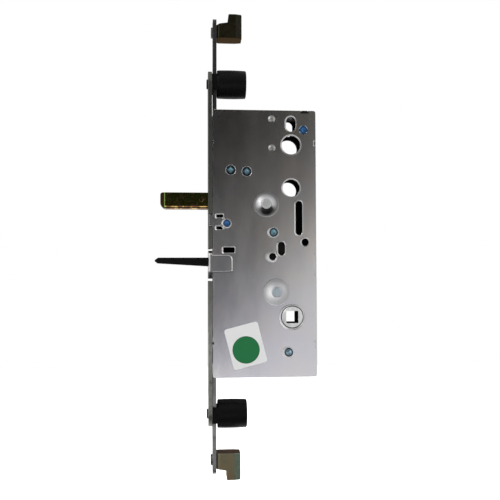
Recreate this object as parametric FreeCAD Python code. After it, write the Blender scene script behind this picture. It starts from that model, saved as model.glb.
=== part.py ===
# Passive door lock for the second leaf of a double door, in millimetres.
# X runs from the outer face into the door, Y across the case, Z up.
# The origin is the middle between the two face fixing holes, on the outer face.
import FreeCAD, Part
import math
import os

Vec = FreeCAD.Vector

# Fits
running = 0.05          # shaft in its bore, radial
sliding = 0.3           # sliding piece beside a fixed one
drive_play = 0.25       # drive pin in its slot, each side
seat_gap = 0.05         # fixed piece in its own seat
same = 0.01             # two places this close are one

# Face: three strips in one line with thin gaps between them
face_thick = 2.5
face_width = 20.0
face_margin = 8.3       # from the bush rivets to the upper and lower ends
frame_top = -2.4        # middle piece, the lever frame
frame_bottom = -20.7
face_gap = 1.5

# Face fixing holes and their countersinks
fixing_half_spacing = 93.9
fixing_hole_r = 2.75
fixing_sink_r = 4.6
fixing_sink_depth = 1.5

# Case
case_front = 2.9
case_back = 71.3
case_top = 90.7
case_bottom = -85.1
case_thick = 18.0
plate = 1.5
corner_r = 1.5
tab_height = 7.0        # front tabs that seat in the face strips
tab_reach = 2.4
tab_slit = 1.3
lug_x = 45.5            # lug that holds the bolt spring
lug_half_height = 3.2
open_tab = 17.5         # its notch in the strip is open to the side
closed_tabs = [69.5, -62.0, -79.0]
closed_tab_thick = 0.8  # stepped, so that the strip closes round them
edge_notches = [69.5, -62.6]
edge_notch_r = 0.8
strip_marks = [(1.8, 93.8), (1.3, -87.6)]
strip_mark_depth = 0.8
back_tabs = [(69.0, 3.0), (-11.5, 13.0), (-63.8, 3.0)]
back_tab_slit = 0.5
top_tab_x = 63.9
top_tab_width = 4.0

# Follower hub: backset, and height below the lower of the two round holes
backset = 55.0
hub_spacing = 85.0
round_hole_z = 39.0
hub_z = round_hole_z - hub_spacing
hub_r = 6.95
hub_proud = 0.3
spindle = 8.0
hub_ring_wall = 0.7

# Through holes for door furniture
hole_line_x = 54.7
upper_hole_z = 67.6
upper_hole_r = 6.4
lower_hole_r = 5.85
oval_z = 81.5
oval_width = 6.8
oval_height = 10.2

# Small openings in the cover only
slot_x = 59.8
slot_width = 5.0
slot_top = 30.6
slot_bottom = 7.6
small_hole_r = 2.6
small_holes = [(63.8, 3.2), (42.2, -6.3)]
short_oval = (48.1, -1.1)
short_oval_width = 5.2
short_oval_height = 9.4
window = (13.5, -2.0)
window_width = 8.0
window_height = 4.0
window_corner_r = 1.0

# Fasteners seen on the cover
screw_spots = [(63.1, 77.8), (14.7, 50.7), (25.3, 49.8), (52.6, -69.0)]
screw_head_r = 2.65
screw_ring = 0.3        # open ring round the head
narrow_heads = screw_spots[1:3]
narrow_head_r = 2.1
narrow_ring = 1.2
screw_shank_r = 1.5
screw_shank_length = 5.0
pillar_r = 2.5
pin_rivet_r = 1.8
pin_head_r = 2.45
pin_head_height = 0.9
pin_rivet_spots = [(41.9, 84.8), (42.0, 65.5)]
seat_rivet = (12.1, 15.6)
seat_rivet_r = 2.4
stop_rivet = (42.9, 9.7)
stop_rivet_r = 2.9
head_proud = 0.2

# Travel shared by the slides, and the levers that drive them
travel = 13.0
rocker_spot = (44.7, -29.6)
rocker_arm = 15.0
rocker_hub_r = 5.0
rocker_pin_r = 2.5
rocker_head_r = 3.3
rocker_boss_r = 7.4
rocker_boss_top_r = 4.2
rocker_boss_height = 0.8
boss_head_height = 0.6  # rivet head on a pressed boss
drive_pin_r = 1.5
drive_pin_reach = 1.0   # past the plate that the pin drives
upper_pin_reach = 0.2   # the same, beside the cover
arm_boss_r = 2.9
arm_width = 5.0
follower_arm = 15.0

# Layers of the mechanism across the case
upper_layer = (-7.0, -5.0)
arm_layer = (-4.4, -1.4)
lower_layer = (-1.0, 1.0)

# Drive strips and slide plates
strip_thick = 2.4
strip_half_width = 6.2
upper_strip_x = 3.2
lower_strip_x = 2.7
upper_strip_end = 152.6
lower_strip_end = -148.1
upper_strip_root = 74.0
lower_strip_root = -67.5
strip_slot_half = 2.9
strip_corner_r = 3.0
strip_slot_r = 2.0
flange_thick = 2.0
flange_height = 12.0
flange_inset = 1.0
flange_reach = 24.0
slot_rim = 3.0          # plate left beside a pin slot
slot_room = 5.5         # plate left above and below it
upper_plate_front = 17.0
upper_plate_back = 31.0
upper_plate_shelf = 42.0
upper_bar_top = 5.0
upper_bar_bottom = -8.0
upper_leg_rim = 0.8
plate_slope = 8.0
link_rivet_r = 1.2
link_head_r = 1.9
link_head_height = 1.0
link_rivet_y = 3.0

# Guide bushes
bush_z = 109.6
bush_front = 6.0
bush_length = 19.3
bush_front_r = 9.25
bush_middle_r = 9.45
bush_back_r = 9.1
bush_middle = 7.5       # from the front to the thickest place
bush_corner_r = 0.8
bush_wall = 3.0
bush_hollow = 5.0
neck_half_height = 5.0
neck_outer = 8.6
neck_overlap = 1.5      # how far the neck runs into the bush
bush_rivet_r = 2.0
bush_rivet_length = 12.0
bush_head_r = 3.3
bush_head_height = 1.0

# Hooks on the drive strips
hook_half_depth = 6.0
hook_corner_r = 0.8
hook_bevel_x = 4.1      # along the back corners
hook_bevel_y = 1.1
hook_nick_x = 1.8       # along the corners beside the strip
hook_nick_y = 1.2
hook_rivet_r = 2.0
hook_rivet_depth = 8.0
hook_head_r = 3.6
hook_head_height = 1.2
upper_hook_bottom = 139.6
upper_hook_step = 149.2
upper_hook_rise = 0.8   # of the step, from the strip to the leg
upper_hook_top = 155.6
upper_hook_back = 22.4
upper_leg_x = 13.6
upper_leg_slope = 0.5
upper_shoulder_x = 2.2
upper_shoulder_z = 0.9
upper_hook_rivet_z = 144.6
lower_hook_top = -134.6
lower_hook_step = -144.4
lower_hook_drop = 1.2
lower_hook_bottom = -151.7
lower_hook_back = 20.9
lower_leg_x = 11.9
lower_hook_rivet_z = -139.7

# Latch bolt
bolt_nose = -31.5
bolt_rear = 7.0
bolt_bottom = 25.4
bolt_top = 36.2
bolt_half_thick = 4.6
bolt_travel = 28.0
nose_bevel = 2.9
nose_bevel_depth = 1.6
nose_lower_r = 4.2
nose_upper_r = 1.4
bolt_edge_r = 2.0
tail_lip = 0.2
tail_end = 40.5
tail_half_height = 4.8
tail_half_thick = 1.5
tail_tongue = 14.0
tail_rivet = (-4.6, 31.3)
tail_rivet_r = 1.2
guide_pin = (38.0, 28.1)
guide_pin_r = 2.0
guide_head_r = 3.1
dome_r = 7.1
dome_top_r = 3.6
dome_height = 1.4

# Operating lever
lever_pivot = (7.0, -9.5)
lever_tip = -34.9
lever_top = -6.8
lever_root_bottom = -12.45
lever_tip_bottom = -10.5
lever_half_width = 6.0
lever_boss_r = 4.5
lever_pin_r = 2.0
lever_play = 0.5
lever_nose = 2.2        # length of the blunt tip
lever_nose_r = 0.5
lever_heel_x = -0.8     # where the taper ends
lever_heel_drop = 0.3
lever_pocket_play = 0.1
crank = 9.3
crank_ring_r = 3.9
crank_tongue = 13.0
crank_tongue_half = 1.5
lever_slot_bottom = -56.0
lever_slot_r = 2.0
ear_back = 15.8
ear_top = -5.1
ear_bottom = -16.6
ear_thick = 1.6
ear_edge_r = 0.7
ear_upper_r = 3.3
ear_lower_r = 2.0
ear_slope = 1.0         # height of the sloped shoulder above and below an ear
bend_r = 1.2

# Springs and their seats
drive_spring_x = 26.0
drive_spring_r = 2.75
drive_wire = 0.9
drive_turns = 8
spring_nub_height = 5.0
spring_nub_play = 1.0
seat_shelf_z = 12.0
seat_thick = 1.5
seat_end = 31.0
seat_post_x = 7.5
seat_post_width = 4.6
seat_post_height = 2.0
seat_post_end = -3.0    # short of the cover, under its two slots
seat_posts = [20.3, 12.5]
post_play = 0.2
post_slot_r = 0.8
bolt_spring_y = 4.2
bolt_spring_z = 33.4
bolt_spring_r = 1.95
bolt_wire = 0.7
bolt_turns = 11
spring_gap = 0.05

# Blank label, turned a little on the cover
label_x = 24.3
label_z = -64.4
label_width = 22.6
label_height = 27.1
label_turn = 14.3
label_corner_r = 1.7
label_thick = 0.15

# Small roundings
button_round = 0.6
hub_round = 0.25
screw_round = 0.4
pin_round = 0.4

# Worked out from the sizes above
face_end = bush_z + face_margin
half_thick = case_thick / 2
inner_half = half_thick - plate
wall_back = case_back - plate
front_wall_start = upper_strip_x + strip_thick + 3 * sliding
lower_strip_top = frame_bottom - face_gap
upper_strip_bottom = frame_top + face_gap
arm_angle = math.degrees(math.asin(travel / 2 / rocker_arm))
follower_angle = math.degrees(math.asin(travel / 2 / follower_arm))
crank_angle = math.degrees(math.asin(travel / 2 / crank))
slot_half = drive_pin_r + drive_play
tail_z = guide_pin[1]
lower_plate_top = lever_pivot[1] - drive_pin_r


# Simple solids

def block(x0, x1, y0, y1, z0, z1):
    return Part.makeBox(x1 - x0, y1 - y0, z1 - z0, Vec(x0, y0, z0))


def rod_y(radius, y0, y1, spot):
    return Part.makeCylinder(radius, y1 - y0, Vec(spot[0], y0, spot[1]), Vec(0, 1, 0))


def rod_x(radius, x0, x1, z, y=0.0):
    return Part.makeCylinder(radius, x1 - x0, Vec(x0, y, z), Vec(1, 0, 0))


def cone_y(r0, r1, y0, y1, spot):
    return Part.makeCone(r0, r1, y1 - y0, Vec(spot[0], y0, spot[1]), Vec(0, 1, 0))


def side_profile(points, y0, y1):
    # A closed outline in X and Z, carried along Y
    corners = [Vec(x, y0, z) for x, z in points]
    outline = Part.makePolygon(corners + corners[:1])
    return Part.Face(outline).extrude(Vec(0, y1 - y0, 0))


def stadium_y(spot_a, spot_b, radius, y0, y1):
    # A bar with round ends between two points
    ax, az = spot_a
    bx, bz = spot_b
    length = math.hypot(bx - ax, bz - az)
    nx = -(bz - az) / length * radius
    nz = (bx - ax) / length * radius
    ends = [(ax + nx, az + nz), (bx + nx, bz + nz), (bx - nx, bz - nz), (ax - nx, az - nz)]
    bar = side_profile(ends, y0, y1)
    return bar.fuse([rod_y(radius, y0, y1, spot_a), rod_y(radius, y0, y1, spot_b)])


def round_edges(solid, radius, wanted):
    edges = [edge for edge in solid.Edges if wanted(edge)]
    return solid.makeFillet(radius, edges)


def along(edge, axis):
    # True for a straight edge that runs along the named axis
    if not isinstance(edge.Curve, Part.Line):
        return False
    return abs(getattr(edge.Curve.Direction, axis)) > 0.999


def corner(edge, axis, x=None, z=None):
    # True for a straight edge along the axis that lies at the given X and Z
    low = edge.BoundBox
    at_x = x is None or abs(low.XMin - x) < same
    at_z = z is None or abs(low.ZMin - z) < same
    return along(edge, axis) and at_x and at_z


def flat_edge(edge, y):
    # True for an edge that lies in the plane where Y has this value
    return abs(edge.BoundBox.YMin - y) < same and abs(edge.BoundBox.YMax - y) < same


def rim(edge, axis, place):
    # True for a round edge in the plane where the named axis has this value
    low = getattr(edge.BoundBox, axis.upper() + "Min")
    high = getattr(edge.BoundBox, axis.upper() + "Max")
    return isinstance(edge.Curve, Part.Circle) and abs(low - place) < same and abs(high - place) < same


def pressed(spot, top_r, base_r, height, y):
    # A round boss that rises towards -Y from the plane y, its slope an S of two equal arcs
    run = (base_r - top_r) / 2
    rise = height / 2
    arc_r = (run * run + rise * rise) / (2 * rise)
    lean = math.atan(rise / run)
    across = arc_r * math.sin(lean)
    up = arc_r * (1 - math.cos(lean))

    def at(r, level):
        return Vec(spot[0] + r, y - level, spot[1])

    crest = at(top_r, height)
    halfway = at(top_r + run, rise)
    foot = at(base_r, 0)
    lines = [Part.makeLine(at(0, height), crest)]
    lines.append(Part.Arc(crest, at(top_r + across, height - up), halfway).toShape())
    lines.append(Part.Arc(halfway, at(base_r - across, up), foot).toShape())
    lines.append(Part.makeLine(foot, at(0, 0)))
    lines.append(Part.makeLine(at(0, 0), at(0, height)))
    return Part.Face(Part.Wire(lines)).revolve(at(0, 0), Vec(0, 1, 0), 360)


def turned(spot, centre, angle):
    # A point in X and Z turned about a centre, positive from X towards Z
    c = math.cos(math.radians(angle))
    s = math.sin(math.radians(angle))
    dx = spot[0] - centre[0]
    dz = spot[1] - centre[1]
    return (centre[0] + dx * c - dz * s, centre[1] + dx * s + dz * c)


def group(solids):
    return Part.makeCompound(solids)


# Springs: each half turn is two arcs that share their tangent

def bent_arc(start, corner, end):
    middle = (start + end) * 0.5
    half_chord = (end - start).Length / 2
    cosine = half_chord / (corner - start).Length
    top = middle + (corner - middle) * (cosine / (1 + cosine))
    return Part.Arc(start, top, end).toShape()


def biarc(p0, t0, p1, t1):
    reach = p1 - p0
    both = t0 + t1
    a = 2 * (1 - t0.dot(t1))
    b = 2 * reach.dot(both)
    c = -reach.dot(reach)
    d = (-b + math.sqrt(b * b - 4 * a * c)) / (2 * a)
    q0 = p0 + t0 * d
    q1 = p1 - t1 * d
    joint = (q0 + q1) * 0.5
    return [bent_arc(p0, q0, joint), bent_arc(joint, q1, p1)]


def coil(origin, axis, side, mean_r, wire, turns, length):
    # A helix of round wire between two seats, its radius swept about the axis
    other = axis.cross(side)
    rise = length - wire - 2 * spring_gap
    pitch = rise / turns
    points = []
    tangents = []
    for step in range(2 * turns + 1):
        angle = math.pi * step
        out = side * math.cos(angle) + other * math.sin(angle)
        round_way = other * math.cos(angle) - side * math.sin(angle)
        points.append(origin + out * mean_r + axis * (wire / 2 + spring_gap + pitch * step / 2))
        tangent = round_way * (2 * math.pi * mean_r) + axis * pitch
        tangents.append(tangent.normalize())
    edges = []
    for step in range(2 * turns):
        edges += biarc(points[step], tangents[step], points[step + 1], tangents[step + 1])
    path = Part.Wire(edges)
    section = Part.Wire(Part.makeCircle(wire / 2, points[0], tangents[0]))
    return path.makePipeShell([section], True, False)


# Face

def face_blank(z0, z1, round_top):
    # A flat strip whose outer end is a half circle as wide as the strip
    half = face_width / 2
    if round_top:
        body = block(0, face_thick, -half, half, z0, z1 - half)
        end = rod_x(half, 0, face_thick, z1 - half)
    else:
        body = block(0, face_thick, -half, half, z0 + half, z1)
        end = rod_x(half, 0, face_thick, z0 + half)
    return body.fuse(end).removeSplitter()


def face_cuts(side):
    # Countersunk fixing hole, bush rivet hole, slots for the case tabs and a mark in the edge
    z = side * fixing_half_spacing
    sink = Part.makeCone(fixing_sink_r, fixing_hole_r, fixing_sink_depth, Vec(0, 0, z), Vec(1, 0, 0))
    cuts = [rod_x(fixing_hole_r, 0, face_thick, z), sink]
    cuts.append(rod_x(bush_rivet_r + seat_gap, 0, face_thick, side * bush_z))
    half = face_width / 2
    inner = inner_half - seat_gap
    closed_outer = inner_half + closed_tab_thick + seat_gap
    slots = [(tab_z, tab_height / 2 + seat_gap, closed_outer) for tab_z in closed_tabs]
    slots.append((open_tab, tab_height / 2 + tab_slit, half))
    for tab_z, reach, outer in slots:
        if tab_z * side > 0:
            cuts.append(block(0, face_thick, -outer, -inner, tab_z - reach, tab_z + reach))
            cuts.append(block(0, face_thick, inner, outer, tab_z - reach, tab_z + reach))
    for spot in strip_marks:
        if spot[1] * side > 0:
            cuts.append(rod_y(edge_notch_r, -half, strip_mark_depth - half, spot))
    return cuts


def upper_face_strip():
    strip = face_blank(upper_strip_bottom, face_end, True)
    opening = block(0, face_thick, -bolt_half_thick - sliding, bolt_half_thick + sliding,
                    bolt_bottom - sliding, bolt_top + sliding)
    return strip.cut(face_cuts(1) + [opening])


def lower_face_strip():
    strip = face_blank(-face_end, lower_strip_top, False)
    half = lever_half_width + lever_play
    opening = block(0, face_thick, -half, half, lever_slot_bottom, lower_strip_top)
    opening = round_edges(opening, lever_slot_r, lambda e: corner(e, "x", z=lever_slot_bottom))
    return strip.cut(face_cuts(-1) + [opening])


def lever_frame():
    # A bent plate: its front is part of the face, its ears lie on the case sides
    outer = half_thick + ear_thick
    half = face_width / 2
    shoulders = [(half, frame_top), (half, ear_top + ear_slope), (outer, ear_top)]
    shoulders += [(outer, ear_bottom), (half, ear_bottom - ear_slope), (half, frame_bottom)]
    corners = [Vec(0, y, z) for y, z in shoulders]
    corners += [Vec(0, -y, z) for y, z in reversed(shoulders)]
    front = Part.Face(Part.makePolygon(corners + corners[:1])).extrude(Vec(face_thick, 0, 0))
    bends = lambda e: corner(e, "z", x=0) and abs(abs(e.BoundBox.YMin) - outer) < same
    front = round_edges(front, bend_r, bends)
    slot = lever_half_width + lever_play
    front = front.cut(block(0, face_thick, -slot, slot, frame_bottom, lever_pivot[1] + lever_boss_r))
    pieces = []
    for low in (-outer, half_thick):
        ear = block(bend_r, ear_back, low, low + ear_thick, ear_bottom, ear_top)
        ear = round_edges(ear, ear_upper_r, lambda e: corner(e, "y", x=ear_back, z=ear_top))
        ear = round_edges(ear, ear_lower_r, lambda e: corner(e, "y", x=ear_back, z=ear_bottom))
        face_y = math.copysign(outer, low)
        free = lambda e: flat_edge(e, face_y) and e.BoundBox.XMax > bend_r + same
        ear = round_edges(ear, ear_edge_r, free)
        pieces.append(ear)
    return front.fuse(pieces).removeSplitter()


# Case

def plate_outline(y0, y1):
    sheet = block(case_front, case_back, y0, y1, case_bottom, case_top)
    sheet = round_edges(sheet, corner_r, lambda e: along(e, "y"))
    half = tab_height / 2
    front = case_front - tab_reach
    tabs = [block(front, case_front + corner_r, y0, y1, open_tab - half, open_tab + half)]
    inner = y1 if y1 < 0 else y0
    step = math.copysign(closed_tab_thick, inner)
    for z in closed_tabs:
        tabs.append(block(front, case_front + corner_r, min(inner, inner + step), max(inner, inner + step),
                          z - half, z + half))
    return sheet.fuse(tabs).removeSplitter()


def oval_hole(spot, width, height, y0, y1):
    reach = (height - width) / 2
    return stadium_y((spot[0], spot[1] - reach), (spot[0], spot[1] + reach), width / 2, y0, y1)


def through_holes(y0, y1):
    holes = [rod_y(upper_hole_r, y0, y1, (hole_line_x, upper_hole_z))]
    holes.append(rod_y(lower_hole_r, y0, y1, (hole_line_x, round_hole_z)))
    holes.append(oval_hole((hole_line_x, oval_z), oval_width, oval_height, y0, y1))
    holes.append(rod_y(hub_r + hub_ring_wall, y0, y1, (backset, hub_z)))
    for spot in pin_rivet_spots:
        holes.append(rod_y(pin_rivet_r + seat_gap, y0, y1, spot))
    holes.append(rod_y(seat_rivet_r + seat_gap, y0, y1, seat_rivet))
    holes.append(rod_y(stop_rivet_r + seat_gap, y0, y1, stop_rivet))
    holes.append(rod_y(guide_pin_r + seat_gap, y0, y1, guide_pin))
    holes.append(rod_y(rocker_pin_r + seat_gap, y0, y1, rocker_spot))
    holes.append(rod_y(lever_pin_r + seat_gap, y0, y1, lever_pivot))
    return holes


def case_cover():
    y0 = -half_thick
    y1 = -inner_half
    sheet = plate_outline(y0, y1)
    # Two bosses are pressed out of the sheet, hollow behind
    bosses = [(guide_pin, dome_top_r, dome_r, dome_height)]
    bosses.append((rocker_spot, rocker_boss_top_r, rocker_boss_r, rocker_boss_height))
    sheet = sheet.fuse([pressed(*boss, y0) for boss in bosses])
    sheet = sheet.cut([pressed(*boss, y1) for boss in bosses])
    cuts = through_holes(y0, y1)
    cuts.append(rod_y(guide_pin_r + seat_gap, y0 - dome_height, y1, guide_pin))
    cuts.append(rod_y(rocker_pin_r + seat_gap, y0 - rocker_boss_height, y1, rocker_spot))
    for spot in screw_spots:
        head_r, ring = screw_sizes(spot)
        sink_r = head_r + ring + seat_gap
        cuts.append(cone_y(sink_r, sink_r - plate, y0, y1, spot))
    for z in edge_notches:
        cuts.append(rod_y(edge_notch_r, y0, y1, (case_front, z)))
    for spot in small_holes:
        cuts.append(rod_y(small_hole_r, y0, y1, spot))
    cuts.append(oval_hole(short_oval, short_oval_width, short_oval_height, y0, y1))
    slot_middle = (slot_top + slot_bottom) / 2
    cuts.append(oval_hole((slot_x, slot_middle), slot_width, slot_top - slot_bottom, y0, y1))
    pane = block(window[0] - window_width / 2, window[0] + window_width / 2, y0, y1,
                 window[1] - window_height / 2, window[1] + window_height / 2)
    cuts.append(round_edges(pane, window_corner_r, lambda e: along(e, "y")))
    for z in seat_posts:
        half_w = seat_post_width / 2 + post_play
        half_h = seat_post_height / 2 + post_play
        opening = block(seat_post_x - half_w, seat_post_x + half_w, y0, y1, z - half_h, z + half_h)
        cuts.append(round_edges(opening, post_slot_r, lambda e: along(e, "y")))
    for z, height in back_tabs:
        half = height / 2 + back_tab_slit
        cuts.append(block(wall_back, case_back, y0, y1, z - half, z + half))
    half = top_tab_width / 2 + back_tab_slit
    cuts.append(block(top_tab_x - half, top_tab_x + half, y0, y1, case_top - plate, case_top))
    return sheet.cut(cuts)


def case_tray():
    sheet = plate_outline(inner_half, half_thick)
    wall_y = (-inner_half, inner_half)
    walls = [block(wall_back, case_back, wall_y[0], wall_y[1], case_bottom + corner_r, case_top - corner_r)]
    walls.append(block(front_wall_start, case_back - corner_r, wall_y[0], wall_y[1],
                       case_top - plate, case_top))
    walls.append(block(front_wall_start, case_back - corner_r, wall_y[0], wall_y[1],
                       case_bottom, case_bottom + plate))
    # Rounded corners that join the walls
    for z_mid in (case_top - corner_r, case_bottom + corner_r):
        walls.append(rod_y(corner_r, wall_y[0], wall_y[1], (case_back - corner_r, z_mid)))
    for z, height in back_tabs:
        walls.append(block(wall_back, case_back, -half_thick, wall_y[0], z - height / 2, z + height / 2))
    half = top_tab_width / 2
    walls.append(block(top_tab_x - half, top_tab_x + half, -half_thick, wall_y[0],
                       case_top - plate, case_top))
    # Lug for the bolt spring, bent up from the floor
    low = bolt_spring_z - lug_half_height
    high = bolt_spring_z + lug_half_height
    walls.append(block(lug_x, lug_x + plate, tail_half_thick + sliding, inner_half, low, high))
    shell = sheet.fuse(walls).removeSplitter()
    cuts = through_holes(inner_half, half_thick)
    for spot in screw_spots:
        cuts.append(rod_y(screw_shank_r + seat_gap, inner_half, half_thick, spot))
    return shell.cut(cuts)


# Guide bushes and their rivets

def guide_bush(side):
    # A turned body with a slightly crowned side, a hollow back and a flat neck each side of the strip
    z = side * bush_z
    back = bush_front + bush_length
    front_edge = Vec(bush_front, 0, bush_front_r)
    crown = Vec(bush_front + bush_middle, 0, bush_middle_r)
    back_edge = Vec(back, 0, bush_back_r)
    lines = [Part.makeLine(Vec(bush_front, 0, 0), front_edge)]
    lines.append(Part.Arc(front_edge, crown, back_edge).toShape())
    lines.append(Part.makeLine(back_edge, Vec(back, 0, 0)))
    lines.append(Part.makeLine(Vec(back, 0, 0), Vec(bush_front, 0, 0)))
    body = Part.Face(Part.Wire(lines)).revolve(Vec(0, 0, 0), Vec(1, 0, 0), 360)
    body = round_edges(body, bush_corner_r, lambda e: rim(e, "x", bush_front) or rim(e, "x", back))
    body.translate(Vec(0, 0, z))
    parts = []
    width = neck_outer - strip_half_width - sliding
    for low in (-neck_outer, strip_half_width + sliding):
        parts.append(block(face_thick, bush_front + neck_overlap, low, low + width,
                           z - neck_half_height, z + neck_half_height))
    bush = body.fuse(parts).removeSplitter()
    hollow = rod_x(bush_back_r - bush_wall, back - bush_hollow, back, z)
    return bush.cut([rod_x(bush_rivet_r + seat_gap, bush_front, back, z), hollow])


def button(radius, base, height, z, y=0.0):
    # A rivet head on the X axis, rounded at its outer end; a negative height points to -X
    top = base + height
    head = rod_x(radius, min(base, top), max(base, top), z, y)
    return round_edges(head, button_round, lambda e: rim(e, "x", top))


def bush_rivets():
    rivets = []
    for side in (1, -1):
        z = side * bush_z
        head = button(bush_head_r, 0, -bush_head_height, z)
        rivets.append(head.fuse(rod_x(bush_rivet_r, 0, bush_rivet_length, z)))
    return group(rivets)


# Drive strips, hooks and slide plates

def drive_strip(side, x, outer_end, root):
    low = min(outer_end, root)
    high = max(outer_end, root)
    strip = block(x, x + strip_thick, -strip_half_width, strip_half_width, low, high)
    strip = round_edges(strip, strip_corner_r, lambda e: corner(e, "x", z=outer_end))
    # One slot passes the fixing screw and the bush rivet over the whole travel
    near = side * fixing_half_spacing - side * (fixing_hole_r + sliding)
    far = side * (bush_z + travel + bush_rivet_r + sliding)
    slot = block(x, x + strip_thick, -strip_slot_half, strip_slot_half, min(near, far), max(near, far))
    slot = round_edges(slot, strip_slot_r, lambda e: along(e, "x"))
    hook_z = upper_hook_rivet_z if side > 0 else lower_hook_rivet_z
    cuts = [slot, rod_x(hook_rivet_r + seat_gap, x, x + strip_thick, hook_z)]
    for y, z in flange_rivets(side):
        cuts.append(rod_x(link_rivet_r + seat_gap, x, x + strip_thick, z, y))
    return strip.cut(cuts)


def flange_span(side):
    root = upper_strip_root if side > 0 else lower_strip_root
    near = root + side * flange_inset
    far = near + side * flange_height
    return min(near, far), max(near, far)


def flange_rivets(side):
    # Places in Y and Z of the four rivets that join a strip and its slide plate
    low, high = flange_span(side)
    levels = (low + flange_height / 4, high - flange_height / 4)
    return [(y, z) for y in (-link_rivet_y, link_rivet_y) for z in levels]


def strip_rivets(side):
    # Flush rivets through strip and flange, and the headed rivet of the hook
    x = upper_strip_x if side > 0 else lower_strip_x
    inner = x + strip_thick + flange_thick
    rivets = []
    for y, z in flange_rivets(side):
        head = button(link_head_r, inner, link_head_height, z, y)
        rivets.append(head.fuse(rod_x(link_rivet_r, x, inner, z, y)))
    hook_z = upper_hook_rivet_z if side > 0 else lower_hook_rivet_z
    head = button(hook_head_r, x, -hook_head_height, hook_z)
    rivets.append(head.fuse(rod_x(hook_rivet_r, x, x + strip_thick + hook_rivet_depth, hook_z)))
    return group(rivets)


def corner_cut(x, along_x, along_y, side, z0, z1):
    # A three-sided post that takes one upright corner off a hook
    y = side * hook_half_depth
    corners = [Vec(x, y, z0), Vec(x + along_x, y, z0), Vec(x, y - side * along_y, z0)]
    outline = Part.makePolygon(corners + corners[:1])
    return Part.Face(outline).extrude(Vec(0, 0, z1 - z0))


def hook_finish(hook, front, back, rivet_z):
    z0 = hook.BoundBox.ZMin
    z1 = hook.BoundBox.ZMax
    cuts = [rod_x(hook_rivet_r + seat_gap, front, front + hook_rivet_depth, rivet_z)]
    for side in (1, -1):
        cuts.append(corner_cut(back, -hook_bevel_x, hook_bevel_y, side, z0, z1))
        cuts.append(corner_cut(front, hook_nick_x, hook_nick_y, side, z0, z1))
    return hook.cut(cuts)


def upper_hook():
    front = upper_strip_x + strip_thick
    foot = upper_leg_x - upper_leg_slope
    points = [(front, upper_hook_bottom), (upper_hook_back, upper_hook_bottom)]
    points += [(upper_hook_back, upper_hook_top), (upper_leg_x, upper_hook_top)]
    points += [(foot, upper_hook_step + upper_hook_rise), (front + upper_shoulder_x, upper_hook_step)]
    points += [(front, upper_hook_step - upper_shoulder_z)]
    hook = side_profile(points, -hook_half_depth, hook_half_depth)
    hook = round_edges(hook, hook_corner_r, lambda e: corner(e, "y", z=upper_hook_top))
    return hook_finish(hook, front, upper_hook_back, upper_hook_rivet_z)


def lower_hook():
    front = lower_strip_x + strip_thick
    points = [(front, lower_hook_top), (lower_hook_back, lower_hook_top)]
    points += [(lower_hook_back, lower_hook_bottom), (lower_leg_x, lower_hook_bottom)]
    points += [(lower_leg_x, lower_hook_step - lower_hook_drop), (front, lower_hook_step)]
    hook = side_profile(points, -hook_half_depth, hook_half_depth)
    hook = round_edges(hook, hook_corner_r, lambda e: corner(e, "y", z=lower_hook_bottom))
    return hook_finish(hook, front, lower_hook_back, lower_hook_rivet_z)


def pin_slot(centre, arm, angle, side, y0, y1):
    # Level slot for a pin that swings evenly about the level of its pivot
    near = centre[0] + side * arm * math.cos(math.radians(angle))
    far = centre[0] + side * arm
    z = centre[1] + (travel / 2 if side > 0 else -travel / 2)
    return stadium_y((near, z), (far, z), slot_half, y0, y1)


def slot_side(pivot_x, arm, angle, side):
    # Edge of the pin slot that lies nearest the pivot
    return pivot_x + side * (arm * math.cos(math.radians(angle)) - slot_half)


def upper_slide_plate():
    # A head on the drive strip, a limb down past the bolt, and a leg to the rocker
    y0, y1 = upper_layer
    low, high = flange_span(1)
    left = upper_strip_x + strip_thick
    heel = left + slot_rim
    front = upper_plate_front
    back = upper_plate_back
    leg_front = slot_side(rocker_spot[0], rocker_arm, arm_angle, 1) - upper_leg_rim
    leg_back = rocker_spot[0] + rocker_arm + slot_half + upper_leg_rim
    leg_bottom = rocker_spot[1] + travel / 2 - slot_half - upper_leg_rim
    points = [(left, high), (flange_reach, high), (back, high - plate_slope), (back, upper_bar_top)]
    points += [(leg_back, upper_bar_top), (leg_back, leg_bottom), (leg_front, leg_bottom)]
    points += [(leg_front, upper_bar_bottom), (front, upper_bar_bottom)]
    points += [(front, upper_plate_shelf - plate_slope / 2), (heel, upper_plate_shelf)]
    points += [(heel, low), (left, low)]
    sheet = side_profile(points, y0, y1)
    flange = block(left, left + flange_thick, y0, strip_half_width - flange_inset, low, high)
    sheet = sheet.fuse(flange).removeSplitter()
    cuts = [pin_slot(rocker_spot, rocker_arm, arm_angle, 1, y0, y1)]
    for x, z in screw_spots:
        if x < back:
            cuts.append(stadium_y((x, z), (x, z + travel), pillar_r + sliding, y0, y1))
    for y, z in flange_rivets(1):
        cuts.append(rod_x(link_rivet_r + seat_gap, left, left + flange_thick, z, y))
    return sheet.cut(cuts)


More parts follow.
